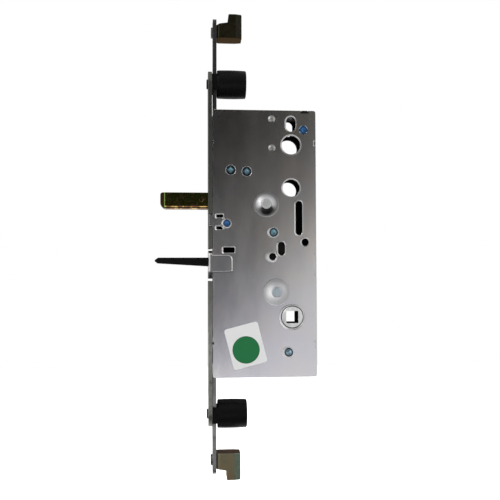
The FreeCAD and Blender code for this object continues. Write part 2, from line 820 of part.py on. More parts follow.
def lower_slide_plate():
    # A foot on the drive strip, and a body with slots for the three drive pins
    y0, y1 = lower_layer
    low, high = flange_span(-1)
    left = lower_strip_x + strip_thick
    top = lower_plate_top
    limb = lever_pivot[0] + lever_boss_r + lever_play
    spring_edge = drive_spring_x + slot_room
    rocker_edge = slot_side(rocker_spot[0], rocker_arm, arm_angle, -1) + slot_rim
    rocker_z = rocker_spot[1] - travel / 2
    follower_edge = slot_side(backset, follower_arm, follower_angle, -1) + slot_rim
    follower_z = hub_z - travel / 2
    points = [(limb, top), (spring_edge, top)]
    points += [(rocker_edge, top - travel), (rocker_edge, rocker_z - slot_room)]
    points += [(follower_edge, follower_z + slot_room), (follower_edge, follower_z - slot_room)]
    points += [(spring_edge, follower_z - plate_slope), (flange_reach, low), (left, low)]
    points += [(left, high), (limb, high + flange_inset)]
    sheet = side_profile(points, y0, y1)
    half = strip_half_width - flange_inset
    flange = block(left, left + flange_thick, -half, half, low, high)
    nub_half = drive_spring_r - drive_wire / 2 - spring_nub_play
    nub = block(drive_spring_x - nub_half, drive_spring_x + nub_half, y0, y1, top, top + spring_nub_height)
    sheet = sheet.fuse([flange, nub]).removeSplitter()
    cuts = [pin_slot(rocker_spot, rocker_arm, arm_angle, -1, y0, y1)]
    cuts.append(pin_slot((backset, hub_z), follower_arm, follower_angle, -1, y0, y1))
    fork_half = drive_pin_r + 1.8 * drive_play
    fork_z = lever_pivot[1] - travel / 2
    fork_end = lever_pivot[0] + crank + drive_play
    cuts.append(stadium_y((left, fork_z), (fork_end, fork_z), fork_half, y0, y1))
    for y, z in flange_rivets(-1):
        cuts.append(rod_x(link_rivet_r + seat_gap, left, left + flange_thick, z, y))
    return sheet.cut(cuts)


# Rocker, follower and lever

def arm_shape(centre, end, hub_radius):
    y0, y1 = arm_layer
    bar = stadium_y(centre, end, arm_width / 2, y0, y1)
    return bar.fuse([rod_y(hub_radius, y0, y1, centre), rod_y(arm_boss_r, y0, y1, end)])


def rocker_pin_spots():
    left = turned((rocker_spot[0] - rocker_arm, rocker_spot[1]), rocker_spot, arm_angle)
    right = turned((rocker_spot[0] + rocker_arm, rocker_spot[1]), rocker_spot, arm_angle)
    return left, right


def rocker():
    y0, y1 = arm_layer
    left, right = rocker_pin_spots()
    body = arm_shape(rocker_spot, left, rocker_hub_r).fuse(arm_shape(rocker_spot, right, rocker_hub_r))
    body = body.removeSplitter()
    cuts = [rod_y(rocker_pin_r + running, y0, y1, rocker_spot)]
    cuts.append(rod_y(drive_pin_r, y0, y1, left))
    cuts.append(rod_y(drive_pin_r, y0, y1, right))
    return body.cut(cuts)


def rocker_pins():
    left, right = rocker_pin_spots()
    lower_pin = rod_y(drive_pin_r, arm_layer[0], lower_layer[1] + drive_pin_reach, left)
    upper_pin = rod_y(drive_pin_r, upper_layer[0] - upper_pin_reach, arm_layer[1], right)
    return group([lower_pin, upper_pin])


def headed_pin(spot, radius, head_r, boss_height):
    # A plain pin across the case with a low head on the pressed boss of the cover
    seat = -half_thick - boss_height
    head_y = seat - boss_head_height
    pin = rod_y(radius, head_y, half_thick + head_proud, spot)
    head = rod_y(head_r, head_y, seat, spot)
    head = round_edges(head, pin_round, lambda e: rim(e, "y", head_y))
    return head.fuse(pin).removeSplitter()


def follower_pin_spot():
    return turned((backset - follower_arm, hub_z), (backset, hub_z), follower_angle)


def follower_hub():
    centre = (backset, hub_z)
    outer = half_thick + hub_proud
    drum = rod_y(hub_r, -outer, outer, centre)
    drum = round_edges(drum, hub_round, lambda e: isinstance(e.Curve, Part.Circle))
    arm = arm_shape(centre, follower_pin_spot(), hub_r)
    body = drum.fuse(arm).removeSplitter()
    half = spindle / 2
    square = block(backset - half, backset + half, -outer, outer, hub_z - half, hub_z + half)
    return body.cut([square, rod_y(drive_pin_r, arm_layer[0], arm_layer[1], follower_pin_spot())])


def follower_rings():
    rings = []
    for y0, y1 in ((-half_thick, -inner_half), (inner_half, half_thick)):
        outer = rod_y(hub_r + hub_ring_wall, y0, y1, (backset, hub_z))
        rings.append(outer.cut(rod_y(hub_r + running, y0, y1, (backset, hub_z))))
    return group(rings)


def follower_pin():
    return rod_y(drive_pin_r, arm_layer[0], lower_layer[1] + drive_pin_reach, follower_pin_spot())


def crank_pin_spot():
    return turned((lever_pivot[0] + crank, lever_pivot[1]), lever_pivot, -crank_angle)


def crank_blank():
    # Ring on the pivot pin, arm to the drive pin, tongue into the lever
    y0, y1 = arm_layer
    arm = stadium_y(lever_pivot, crank_pin_spot(), arm_width / 2, y0, y1)
    ring = rod_y(crank_ring_r, y0, y1, lever_pivot)
    boss = rod_y(arm_boss_r, y0, y1, crank_pin_spot())
    tongue = block(lever_pivot[0] - crank_tongue, lever_pivot[0], y0, y1,
                   lever_pivot[1] - crank_tongue_half, lever_pivot[1] + crank_tongue_half)
    return arm.fuse([ring, boss, tongue]).removeSplitter()


def lever_crank():
    y0, y1 = arm_layer
    bore = rod_y(lever_pin_r + running, y0, y1, lever_pivot)
    return crank_blank().cut([bore, rod_y(drive_pin_r, y0, y1, crank_pin_spot())])


def crank_pin():
    return rod_y(drive_pin_r, arm_layer[0], lower_layer[1] + drive_pin_reach, crank_pin_spot())


def operating_lever():
    # A tapered blade with a blunt nose, growing out of a round boss
    half = lever_half_width
    nose = lever_nose
    points = [(lever_pivot[0], lever_top), (lever_tip + nose, lever_top)]
    points += [(lever_tip, lever_top - 0.7 * nose), (lever_tip, lever_tip_bottom + 0.6 * nose)]
    points += [(lever_tip + 0.7 * nose, lever_tip_bottom), (lever_heel_x, lever_root_bottom)]
    points += [(lever_pivot[0], lever_root_bottom - lever_heel_drop)]
    blade = side_profile(points, -half, half)
    tip_end = lever_tip + nose + same
    blade = round_edges(blade, lever_nose_r, lambda e: along(e, "y") and e.BoundBox.XMax < tip_end)
    boss = rod_y(lever_boss_r, -half, half, lever_pivot)
    body = blade.fuse(boss).removeSplitter()
    boss_room = rod_y(lever_boss_r + lever_pocket_play, arm_layer[0], arm_layer[1], lever_pivot)
    pocket = crank_blank().fuse(boss_room)
    return body.cut([pocket, rod_y(lever_pin_r + running, -half, half, lever_pivot)])


# Latch bolt

def latch_bolt():
    # The common part of three outlines: from the side, from the end and from above
    t = bolt_half_thick
    side_view = block(bolt_nose, bolt_rear, -t, t, bolt_bottom, bolt_top)
    side_view = round_edges(side_view, nose_lower_r, lambda e: corner(e, "y", x=bolt_nose, z=bolt_bottom))
    side_view = round_edges(side_view, nose_upper_r, lambda e: corner(e, "y", x=bolt_nose, z=bolt_top))
    end_view = block(bolt_nose, bolt_rear, -t, t, bolt_bottom, bolt_top)
    end_view = round_edges(end_view, bolt_edge_r, lambda e: corner(e, "x", z=bolt_bottom))
    flank = bolt_nose + nose_bevel
    tip = t - nose_bevel_depth
    outline = [(bolt_rear, -t), (flank, -t), (bolt_nose, -tip), (bolt_nose, tip), (flank, t), (bolt_rear, t)]
    corners = [Vec(x, y, bolt_bottom) for x, y in outline]
    top_view = Part.Face(Part.makePolygon(corners + corners[:1]))
    top_view = top_view.extrude(Vec(0, 0, bolt_top - bolt_bottom))
    head = side_view.common(end_view).common(top_view)
    room = tail_half_thick + seat_gap
    pocket = block(bolt_rear - tail_tongue, bolt_rear, -room, room,
                   bolt_bottom, tail_z + tail_half_height + seat_gap)
    return head.cut([pocket, rod_y(tail_rivet_r + seat_gap, -t, t, tail_rivet)])


def bolt_tail():
    # A flat tongue that ends in a fork on the fixed guide pin
    low = tail_z - tail_half_height
    high = tail_z + tail_half_height
    step = bolt_bottom + bolt_edge_r
    root = bolt_rear - tail_tongue + seat_gap
    lip = bolt_rear + tail_lip
    points = [(root, step), (lip, step), (lip, low), (tail_end, low), (tail_end, high), (root, high)]
    tail = side_profile(points, -tail_half_thick, tail_half_thick)
    fork_start = guide_pin[0] - bolt_travel
    slot = stadium_y((fork_start, tail_z), (tail_end + guide_pin_r, tail_z), guide_pin_r + sliding,
                     -tail_half_thick, tail_half_thick)
    hole = rod_y(tail_rivet_r + seat_gap, -tail_half_thick, tail_half_thick, tail_rivet)
    return tail.cut([slot, hole])


def bolt_rivet():
    reach = bolt_half_thick - seat_gap
    return rod_y(tail_rivet_r, -reach, reach, tail_rivet)


# Springs, seat and fasteners

def spring_seat():
    # A bent plate on the tray: a shelf over the drive spring, two posts to the cover
    floor = block(seat_post_x - seat_post_width / 2, seat_end, inner_half - seat_thick, inner_half,
                  seat_posts[1] - seat_post_height / 2, seat_posts[0] + seat_post_height / 2)
    shelf_front = drive_spring_x - drive_spring_r - drive_wire
    shelf = block(shelf_front, seat_end, -drive_spring_r - drive_wire, inner_half - seat_thick,
                  seat_shelf_z, seat_shelf_z + seat_thick)
    pieces = [shelf]
    for z in seat_posts:
        pieces.append(block(seat_post_x - seat_post_width / 2, seat_post_x + seat_post_width / 2,
                            seat_post_end, inner_half - seat_thick,
                            z - seat_post_height / 2, z + seat_post_height / 2))
    seat = floor.fuse(pieces).removeSplitter()
    return seat.cut(rod_y(seat_rivet_r + seat_gap, inner_half - seat_thick, inner_half, seat_rivet))


def drive_spring():
    origin = Vec(drive_spring_x, 0, lower_plate_top)
    length = seat_shelf_z - lower_plate_top
    return coil(origin, Vec(0, 0, 1), Vec(1, 0, 0), drive_spring_r, drive_wire, drive_turns, length)


def bolt_spring():
    origin = Vec(bolt_rear, bolt_spring_y, bolt_spring_z)
    return coil(origin, Vec(1, 0, 0), Vec(0, 1, 0), bolt_spring_r, bolt_wire, bolt_turns, lug_x - bolt_rear)


def screw_sizes(spot):
    # Radius of the head and width of the open ring round it
    if spot in narrow_heads:
        return narrow_head_r, narrow_ring
    return screw_head_r, screw_ring


def cover_screws():
    screws = []
    for spot in screw_spots:
        head_r, ring = screw_sizes(spot)
        top = -half_thick - head_proud
        cone_top = -half_thick + ring
        head = rod_y(head_r, top, cone_top, spot)
        head = round_edges(head, screw_round, lambda e: rim(e, "y", top))
        cone = cone_y(head_r, head_r - plate + ring, cone_top, -inner_half, spot)
        shank = rod_y(screw_shank_r, -inner_half, screw_shank_length - inner_half, spot)
        screws.append(head.fuse([cone, shank]))
    return group(screws)


def pillars():
    posts = []
    for spot in screw_spots:
        body = rod_y(pillar_r, -inner_half, inner_half, spot)
        spigot = rod_y(screw_shank_r, inner_half, half_thick + head_proud, spot)
        bore = rod_y(screw_shank_r + seat_gap, -inner_half, screw_shank_length + seat_gap - inner_half, spot)
        posts.append(body.fuse(spigot).cut(bore))
    return group(posts)


def plain_rivets(spots, radius):
    rivets = []
    for spot in spots:
        pin = rod_y(radius, -half_thick - head_proud, half_thick + head_proud, spot)
        rivets.append(round_edges(pin, head_proud * 0.9, lambda e: isinstance(e.Curve, Part.Circle)))
    return rivets


def domed_rivets():
    # Round heads on the cover, part of a ball each, and plain ends behind
    rivets = []
    for spot in pin_rivet_spots:
        ball_r = (pin_head_r ** 2 + pin_head_height ** 2) / (2 * pin_head_height)
        ball = Part.makeSphere(ball_r, Vec(spot[0], -half_thick - pin_head_height + ball_r, spot[1]))
        head = ball.common(rod_y(pin_head_r, -half_thick - pin_head_height, -half_thick, spot))
        rivets.append(head.fuse(rod_y(pin_rivet_r, -half_thick, half_thick + head_proud, spot)))
    return group(rivets)


def blank_label():
    face = -half_thick
    x0 = label_x - label_width / 2
    z0 = label_z - label_height / 2
    card = block(x0, x0 + label_width, face - label_thick, face, z0, z0 + label_height)
    card = round_edges(card, label_corner_r, lambda e: along(e, "y"))
    card.rotate(Vec(label_x, 0, label_z), Vec(0, 1, 0), -label_turn)
    return card


pieces = {
    "upper_face_strip": upper_face_strip(),
    "lower_face_strip": lower_face_strip(),
    "lever_frame": lever_frame(),
    "case_cover": case_cover(),
    "case_tray": case_tray(),
    "upper_guide_bush": guide_bush(1),
    "lower_guide_bush": guide_bush(-1),
    "bush_rivets": bush_rivets(),
    "upper_drive_strip": drive_strip(1, upper_strip_x, upper_strip_end, upper_strip_root),
    "lower_drive_strip": drive_strip(-1, lower_strip_x, lower_strip_end, lower_strip_root),
    "upper_slide_plate": upper_slide_plate(),
    "lower_slide_plate": lower_slide_plate(),
    "upper_strip_rivets": strip_rivets(1),
    "lower_strip_rivets": strip_rivets(-1),
    "upper_hook": upper_hook(),
    "lower_hook": lower_hook(),
    "rocker": rocker(),
    "rocker_pins": rocker_pins(),
    "rocker_pivot": headed_pin(rocker_spot, rocker_pin_r, rocker_head_r, rocker_boss_height),
    "follower_hub": follower_hub(),
    "follower_pin": follower_pin(),
    "follower_rings": follower_rings(),
    "operating_lever": operating_lever(),
    "lever_crank": lever_crank(),
    "crank_pin": crank_pin(),
    "lever_pivot_pin": rod_y(lever_pin_r, -half_thick, half_thick, lever_pivot),
    "latch_bolt": latch_bolt(),
    "bolt_tail": bolt_tail(),
    "bolt_rivet": bolt_rivet(),
    "bolt_guide_pin": headed_pin(guide_pin, guide_pin_r, guide_head_r, dome_height),
    "drive_spring": drive_spring(),
    "bolt_spring": bolt_spring(),
    "spring_seat": spring_seat(),
    "cover_screws": cover_screws(),
    "screw_pillars": pillars(),
    "case_rivets": domed_rivets(),
    "inner_rivets": group(plain_rivets([seat_rivet], seat_rivet_r)
                          + plain_rivets([stop_rivet], stop_rivet_r)),
    "blank_label": blank_label(),
}

os.makedirs("parts", exist_ok=True)
for name, shape in pieces.items():
    shape.exportStep("parts/" + name + ".step")
    print(name, len(shape.Solids), "solids, valid", shape.isValid(), "volume", round(shape.Volume, 1))
print("lever swing", round(2 * crank_angle, 3), "rocker and follower swing", round(2 * arm_angle, 3))
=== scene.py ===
# Looks of the passive door lock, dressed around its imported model
import bpy
import math
import numpy as np
from mathutils import Matrix, Vector


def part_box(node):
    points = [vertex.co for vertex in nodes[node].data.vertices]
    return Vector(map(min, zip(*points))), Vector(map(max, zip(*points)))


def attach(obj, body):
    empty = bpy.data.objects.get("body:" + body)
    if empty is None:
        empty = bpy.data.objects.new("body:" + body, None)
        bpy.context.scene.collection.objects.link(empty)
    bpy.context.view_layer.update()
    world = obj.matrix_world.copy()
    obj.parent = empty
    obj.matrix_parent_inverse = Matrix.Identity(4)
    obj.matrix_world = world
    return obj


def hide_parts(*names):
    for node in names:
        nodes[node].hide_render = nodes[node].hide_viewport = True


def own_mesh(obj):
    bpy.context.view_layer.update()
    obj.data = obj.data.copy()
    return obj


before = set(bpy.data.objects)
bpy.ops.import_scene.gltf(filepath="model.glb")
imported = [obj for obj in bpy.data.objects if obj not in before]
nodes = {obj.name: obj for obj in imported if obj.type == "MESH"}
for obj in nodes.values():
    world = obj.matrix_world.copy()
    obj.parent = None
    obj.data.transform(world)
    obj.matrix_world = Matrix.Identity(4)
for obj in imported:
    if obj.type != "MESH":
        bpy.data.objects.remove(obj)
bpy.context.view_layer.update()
scene = bpy.context.scene
black, middleGrey, white = (0.0,) * 3, (0.5,) * 3, (1.0,) * 3
print("frame loaded:", len(nodes), "nodes")


# Camera: the photograph's viewing angle, a little below and left of the case
view = {
    "place": (-0.01007, -0.46202, -0.01869),
    "right": (0.99663, -0.08200, -0.00314),
    "up": (0.00011, -0.03695, 0.99932),
    "lens": 49.946,
    "sensor": 36.0,
}


def makeCamera():
    # Columns of the turn are right, up and backwards
    right = Vector(view["right"]).normalized()
    back = right.cross(Vector(view["up"])).normalized()
    up = back.cross(right)
    camera = bpy.data.cameras.new("camera")
    camera.lens = view["lens"]
    camera.sensor_width = view["sensor"]
    holder = bpy.data.objects.new("camera", camera)
    turn = Matrix((right, up, back)).transposed().to_4x4()
    holder.matrix_world = Matrix.Translation(view["place"]) @ turn
    scene.collection.objects.link(holder)
    scene.camera = holder


makeCamera()
scene.view_settings.view_transform = "Standard"
print("camera set")


# Small helpers for node materials
def newMaterial(name):
    material = bpy.data.materials.new(name)
    material.use_nodes = True
    tree = material.node_tree
    shader = tree.nodes["Principled BSDF"]
    place = tree.nodes.new("ShaderNodeTexCoord").outputs["Object"]
    return material, tree, shader, place


def stretched(tree, place, scale, centre=(0, 0, 0)):
    # Object coordinates, centred and scaled axis by axis
    mapping = tree.nodes.new("ShaderNodeMapping")
    mapping.vector_type = "TEXTURE"
    mapping.inputs["Location"].default_value = centre
    mapping.inputs["Scale"].default_value = tuple(1 / s for s in scale)
    tree.links.new(place, mapping.inputs["Vector"])
    return mapping.outputs["Vector"]


def noise(tree, vector, scale, detail, rough=0.55, warp=0.0):
    node = tree.nodes.new("ShaderNodeTexNoise")
    node.inputs["Scale"].default_value = scale
    node.inputs["Detail"].default_value = detail
    node.inputs["Roughness"].default_value = rough
    node.inputs["Distortion"].default_value = warp
    tree.links.new(vector, node.inputs["Vector"])
    return node.outputs["Fac"]


def ramp(tree, value, stops):
    # Colours or greys along a value from 0 to 1
    node = tree.nodes.new("ShaderNodeValToRGB")
    points = node.color_ramp.elements
    while len(points) < len(stops):
        points.new(0.5)
    for point, (stop, colour) in zip(points, stops):
        point.position = stop
        point.color = (*colour, 1) if hasattr(colour, "__len__") else (colour, colour, colour, 1)
    tree.links.new(value, node.inputs["Fac"])
    return node.outputs["Color"]


def blendColour(tree, share, a, b, mode="MIX"):
    node = tree.nodes.new("ShaderNodeMix")
    node.data_type = "RGBA"
    node.blend_type = mode
    for socket, value in ((node.inputs[0], share), (node.inputs[6], a), (node.inputs[7], b)):
        if isinstance(value, bpy.types.NodeSocket):
            tree.links.new(value, socket)
        else:
            socket.default_value = value if isinstance(value, float) else (*value, 1)
    return node.outputs[2]


def multiplied(tree, a, b):
    return blendColour(tree, 1.0, a, b, "MULTIPLY")


def between(tree, value, low, high):
    # 0 at low, 1 at high, even between them
    run = tree.nodes.new("ShaderNodeMapRange")
    run.inputs["From Min"].default_value = low
    run.inputs["From Max"].default_value = high
    tree.links.new(value, run.inputs["Value"])
    return run.outputs[0]


def largest(tree, first, *others):
    for other in others:
        node = tree.nodes.new("ShaderNodeMath")
        node.operation = "MAXIMUM"
        tree.links.new(first, node.inputs[0])
        tree.links.new(other, node.inputs[1])
        first = node.outputs[0]
    return first


def vectorMath(tree, operation, value, other=None):
    # The other operand is a vector socket, a fixed vector or none
    node = tree.nodes.new("ShaderNodeVectorMath")
    node.operation = operation
    tree.links.new(value, node.inputs[0])
    if isinstance(other, bpy.types.NodeSocket):
        tree.links.new(other, node.inputs[1])
    elif other:
        node.inputs[1].default_value = other
    return node.outputs


def softStep(tree, place, direction, low, high):
    # 0 before low, 1 past high, along one direction of the object's own coordinates
    return between(tree, vectorMath(tree, "DOT_PRODUCT", place, direction)["Value"], low, high)


def shadedByHeight(tree, place, colour, heights):
    # painted shade: the colour darkened by tones over the height
    tones = ramp(tree, softStep(tree, place, (0, 0, 1), *heights["span"]), heights["tones"])
    return multiplied(tree, colour, tones)


def pointValue(tree, name):
    # A value kept on each point of the mesh
    node = tree.nodes.new("ShaderNodeAttribute")
    node.attribute_name = name
    return node.outputs


def softNormal(tree, radius):
    edge = tree.nodes.new("ShaderNodeBevel")
    edge.samples = 6
    edge.inputs["Radius"].default_value = radius
    return edge.outputs["Normal"]


def bumped(tree, shader, height, strength, distance, radius=0.0):
    # Height in metres times distance; a radius above 0 also softens sharp edges
    node = tree.nodes.new("ShaderNodeBump")
    node.inputs["Strength"].default_value = strength
    node.inputs["Distance"].default_value = distance
    tree.links.new(height, node.inputs["Height"])
    if radius > 0:
        tree.links.new(softNormal(tree, radius), node.inputs["Normal"])
    tree.links.new(node.outputs["Normal"], shader.inputs["Normal"])


# Mesh pieces built from arrays
def newPiece(name, points, faces, material):
    mesh = bpy.data.meshes.new(name)
    mesh.from_pydata(points.tolist(), [], faces)
    mesh.polygons.foreach_set("use_smooth", np.ones(len(mesh.polygons), bool))
    mesh.materials.append(material)
    mesh.update()
    piece = bpy.data.objects.new(name, mesh)
    scene.collection.objects.link(piece)
    return piece


def ringQuads(rings, steps, start):
    # Quads between closed rings of points that follow each other in the list
    k = np.arange(steps)
    turn = np.roll(k, -1)
    base = (start + np.arange(rings - 1) * steps)[:, None]
    return np.stack([base + k, base + steps + k, base + steps + turn, base + turn], -1).reshape(-1, 4)


def capFaces(rings, steps):
    # A closed cap: point 0 is its middle, point 1 the middle of its underside, then come the rings outwards
    k = np.arange(steps)
    turn = np.roll(k, -1)
    last = 2 + (rings - 1) * steps
    fans = [(0, 2 + a, 2 + b) for a, b in zip(k, turn)] + [(1, last + b, last + a) for a, b in zip(k, turn)]
    return fans + ringQuads(rings, steps, 2).tolist()


# Space inside the case, where painted shade makes the steel dark: middle and half sizes in metres
insideShade = {
    "middle": (0.0372, 0.0, 0.0028),
    "half": (0.0335, 0.0089, 0.0870),
    "fade": 0.965,
    # the colour of the painted shade inside the case
    "colour": (0.012, 0.011, 0.010),
}


def insideShadeShare(tree, place):
    # 1 deep inside the case, 0 outside it, as the share of painted shade: largest of the three distances from its
    # middle, over half sizes
    centred = stretched(tree, place, tuple(1 / h for h in insideShade["half"]), insideShade["middle"])
    parts = tree.nodes.new("ShaderNodeSeparateXYZ")
    tree.links.new(vectorMath(tree, "ABSOLUTE", centred)[0], parts.inputs[0])
    return between(tree, largest(tree, *parts.outputs), 1.0, insideShade["fade"])


def shadeInside(tree, shader, within, rough):
    # Bare metal outside; painted shade inside, dark and without gloss
    for name, outside, inside in (("Metallic", white, black), ("Roughness", rough, white),
                                  ("Specular IOR Level", middleGrey, black)):
        tree.links.new(blendColour(tree, within, outside, inside), shader.inputs[name])


# Zinc-plated sheet: soft warm and cool clouds, fine rolling grain, faint smears. Here and below, the values of a
# noise are its scale, detail, roughness and warp, and those of a bump its strength, distance and edge radius
sheetLook = {
    "cloud": (38.0, 5.0, 0.6, 0.4),
    "tints": [(0.3, (0.57, 0.575, 0.60)), (0.7, (0.62, 0.595, 0.575))],
    "smearStretch": (60, 60, 18),
    "smear": (1.0, 6.0, 0.65),
    "smearTones": [(0.35, 0.55), (0.6, 1.0)],
    "smearShare": 0.16,
    "roughTones": [(0.3, 0.13), (0.7, 0.19)],
    "grain": (900.0, 3.0),
    "bump": (0.05, 0.00015),
    "edge": 0.0003,
    "pressedEdge": 0.0006,
    "burnish": {"Metallic": 0.25, "Roughness": 0.42},
    # painted shade in the slit round the top tab: its box, fade and tone
    "slitBox": (0.0614, 0.0664, 0.0890),  # left, right and lower side
    "slitFade": 0.0005,
    "slitShadeTone": 0.10,
    # painted shade: the lever frame darker towards its top and bottom ends
    "frameEndShade": {"span": (-0.0236, 0.0),
                  "tones": [(0.0, 0.10), (0.24, 0.16), (0.31, 0.22), (0.335, 1.0), (0.80, 1.0), (0.85, 0.16),
                            (1.0, 0.10)]},
}


def slitShadeShare(tree, place):
    # 1 round the top tab, where shade is painted in the slit, 0 elsewhere
    left, right, low = sheetLook["slitBox"]
    fade = sheetLook["slitFade"]
    share = multiplied(tree, softStep(tree, place, (1, 0, 0), left - fade, left),
                       softStep(tree, place, (-1, 0, 0), -right - fade, -right))
    return multiplied(tree, share, softStep(tree, place, (0, 0, 1), low - fade, low))


def sheetSteel(name, edge, burnishAndShade=False, heights=None):
    material, tree, shader, place = newMaterial(name)
    tint = ramp(tree, noise(tree, place, *sheetLook["cloud"]), sheetLook["tints"])
    smear = noise(tree, stretched(tree, place, sheetLook["smearStretch"]), *sheetLook["smear"])
    smeared = ramp(tree, smear, sheetLook["smearTones"])
    colour = blendColour(tree, sheetLook["smearShare"], tint, smeared, "MULTIPLY")
    # painted shade over the height, where asked
    if heights:
        colour = shadedByHeight(tree, place, colour, heights)
    # painted shade in the slit round the top tab
    slitShaded = multiplied(tree, colour, (sheetLook["slitShadeTone"],) * 3)
    colour = blendColour(tree, slitShadeShare(tree, place), colour, slitShaded)
    # painted shade inside the case: dark colour and no gloss
    within = insideShadeShare(tree, place)
    colour = blendColour(tree, within, colour, insideShade["colour"])
    shadeInside(tree, shader, within, ramp(tree, smear, sheetLook["roughTones"]))
    if burnishAndShade:  # the sheet round the pins is duller, and its tone is painted light and shade; both are kept on each point
        colour = multiplied(tree, colour, pointValue(tree, "lightAndShade")["Color"])
        share = pointValue(tree, "burnish")["Fac"]
        for socket, value in sheetLook["burnish"].items():
            plain = shader.inputs[socket].links[0].from_socket
            tree.links.new(blendColour(tree, share, plain, (value,) * 3), shader.inputs[socket])
    tree.links.new(colour, shader.inputs["Base Color"])
    bumped(tree, shader, noise(tree, place, *sheetLook["grain"]), *sheetLook["bump"], edge)
    return material


# Bar and rivet steel: a dull even grey with fine mottling
plainLook = {
    "cloud": (160.0, 5.0, 0.65),
    "stops": (0.3, 0.7),
    "darkShare": 0.6,
    "roughSpread": (0.08, -0.06),
    "grain": (1200.0, 3.0),
    "bump": (0.15, 0.0002),
    "edge": 0.0002,
    "span": (-0.155, 0.158),
    # painted shade: the bars darker towards the top
    "barShadeTones": [(0.0, 1.0), (0.2, 0.8), (0.6, 0.4), (0.85, 0.25), (1.0, 0.28)],
    # painted light and shade: the strips darker towards the top, with a lighter band low down
    "stripShadeTones": [(0.0, 0.66), (0.2, 0.62), (0.26, 0.85), (0.35, 0.73), (0.4, 0.58), (0.55, 0.46), (0.68, 0.35),
                   (1.0, 0.26)],
}


def plainSteel(name, colour, rough, inside=False, tones=None, metal=1.0):
    # Painted shade inside the case where asked, and painted light and shade over the part's height where asked
    material, tree, shader, place = newMaterial(name)
    cloud = noise(tree, place, *plainLook["cloud"])
    low, high = plainLook["stops"]
    skin = ramp(tree, cloud, [(low, tuple(c * plainLook["darkShare"] for c in colour)), (high, colour)])
    if tones:
        skin = shadedByHeight(tree, place, skin, {"span": plainLook["span"], "tones": tones})
    duller, smoother = plainLook["roughSpread"]
    polish = ramp(tree, cloud, [(low, rough + duller), (high, rough + smoother)])
    if inside:
        # painted shade inside the case: dark colour and no gloss
        within = insideShadeShare(tree, place)
        skin = blendColour(tree, within, skin, insideShade["colour"])
        shadeInside(tree, shader, within, polish)
    else:
        shader.inputs["Metallic"].default_value = metal
        tree.links.new(polish, shader.inputs["Roughness"])
    tree.links.new(skin, shader.inputs["Base Color"])
    bumped(tree, shader, noise(tree, place, *plainLook["grain"]), *plainLook["bump"], plainLook["edge"])
    return material


plasticLook = {
    "fine": (900.0, 4.0),
    "tones": [(0.3, 0.0016), (0.7, 0.0035)],
    "rough": 0.42,
    "specular": 0.07,
    "bump": (0.1, 0.0002, 0.0003),
}


def plastic():
    material, tree, shader, place = newMaterial("blackPlastic")
    fine = noise(tree, place, *plasticLook["fine"])
    tree.links.new(ramp(tree, fine, plasticLook["tones"]), shader.inputs["Base Color"])
    shader.inputs["Roughness"].default_value = plasticLook["rough"]
    shader.inputs["Specular IOR Level"].default_value = plasticLook["specular"]
    bumped(tree, shader, fine, *plasticLook["bump"])
    return material


# Chromate: a thin coloured film in patches of olive, brown, red and green over dark metal
filmLook = {
    "patch": (4.0, 0.6, 1.2),
    "roughStops": [(0.3, -0.05), (0.7, 0.08)],
    "grain": (700.0, 4.0),
    "bump": (0.15, 0.0002, 0.0003),
}


def chromate(name, stops, rough, scale):
    material, tree, shader, place = newMaterial(name)
    patch = noise(tree, place, scale, *filmLook["patch"])
    polish = ramp(tree, patch, [(stop, rough + more) for stop, more in filmLook["roughStops"]])
    shader.inputs["Metallic"].default_value = 1.0
    tree.links.new(polish, shader.inputs["Roughness"])
    bumped(tree, shader, noise(tree, place, *filmLook["grain"]), *filmLook["bump"])
    return material, tree, shader, place, ramp(tree, patch, stops)


bolt = {
    "film": [(0.25, (0.20, 0.11, 0.03)), (0.42, (0.15, 0.13, 0.03)), (0.55, (0.07, 0.10, 0.02)),
             (0.68, (0.22, 0.09, 0.06)), (0.8, (0.26, 0.18, 0.04))],
    "rough": 0.13,
    "patchScale": 200.0,
    "glint": (330.0, 2.0),
    # painted gold glints along the rounded underside, over rusty brown
    "glints": [(0.48, (0.16, 0.08, 0.04)), (0.60, (0.62, 0.42, 0.14))],
    "underside": 0.0277,
    "undersideFade": 0.0008,
    # painted highlight: a light green line on the nose's crease; painted shade: dark brown over the nose
    "lines": [(-0.0281, (0.30, 0.44, 0.12)), (-0.0289, (0.030, 0.017, 0.006))],
    "lineFade": 0.0002,
}


def boltChromate():
    # The film of the bolt: painted gold glints over rusty brown underneath, then a painted light green highlight on
    # the crease and painted shade over the brown nose
    material, tree, shader, place, film = chromate("yellowChromate", bolt["film"], bolt["rough"], bolt["patchScale"])
    glint = ramp(tree, noise(tree, place, *bolt["glint"]), bolt["glints"])
    low = softStep(tree, place, (0, 0, -1), -bolt["underside"], bolt["undersideFade"] - bolt["underside"])
    film = blendColour(tree, low, film, glint)
    for x, colour in bolt["lines"]:
        film = blendColour(tree, softStep(tree, place, (-1, 0, 0), -x - bolt["lineFade"], -x), film, colour)
    tree.links.new(film, shader.inputs["Base Color"])
    return material


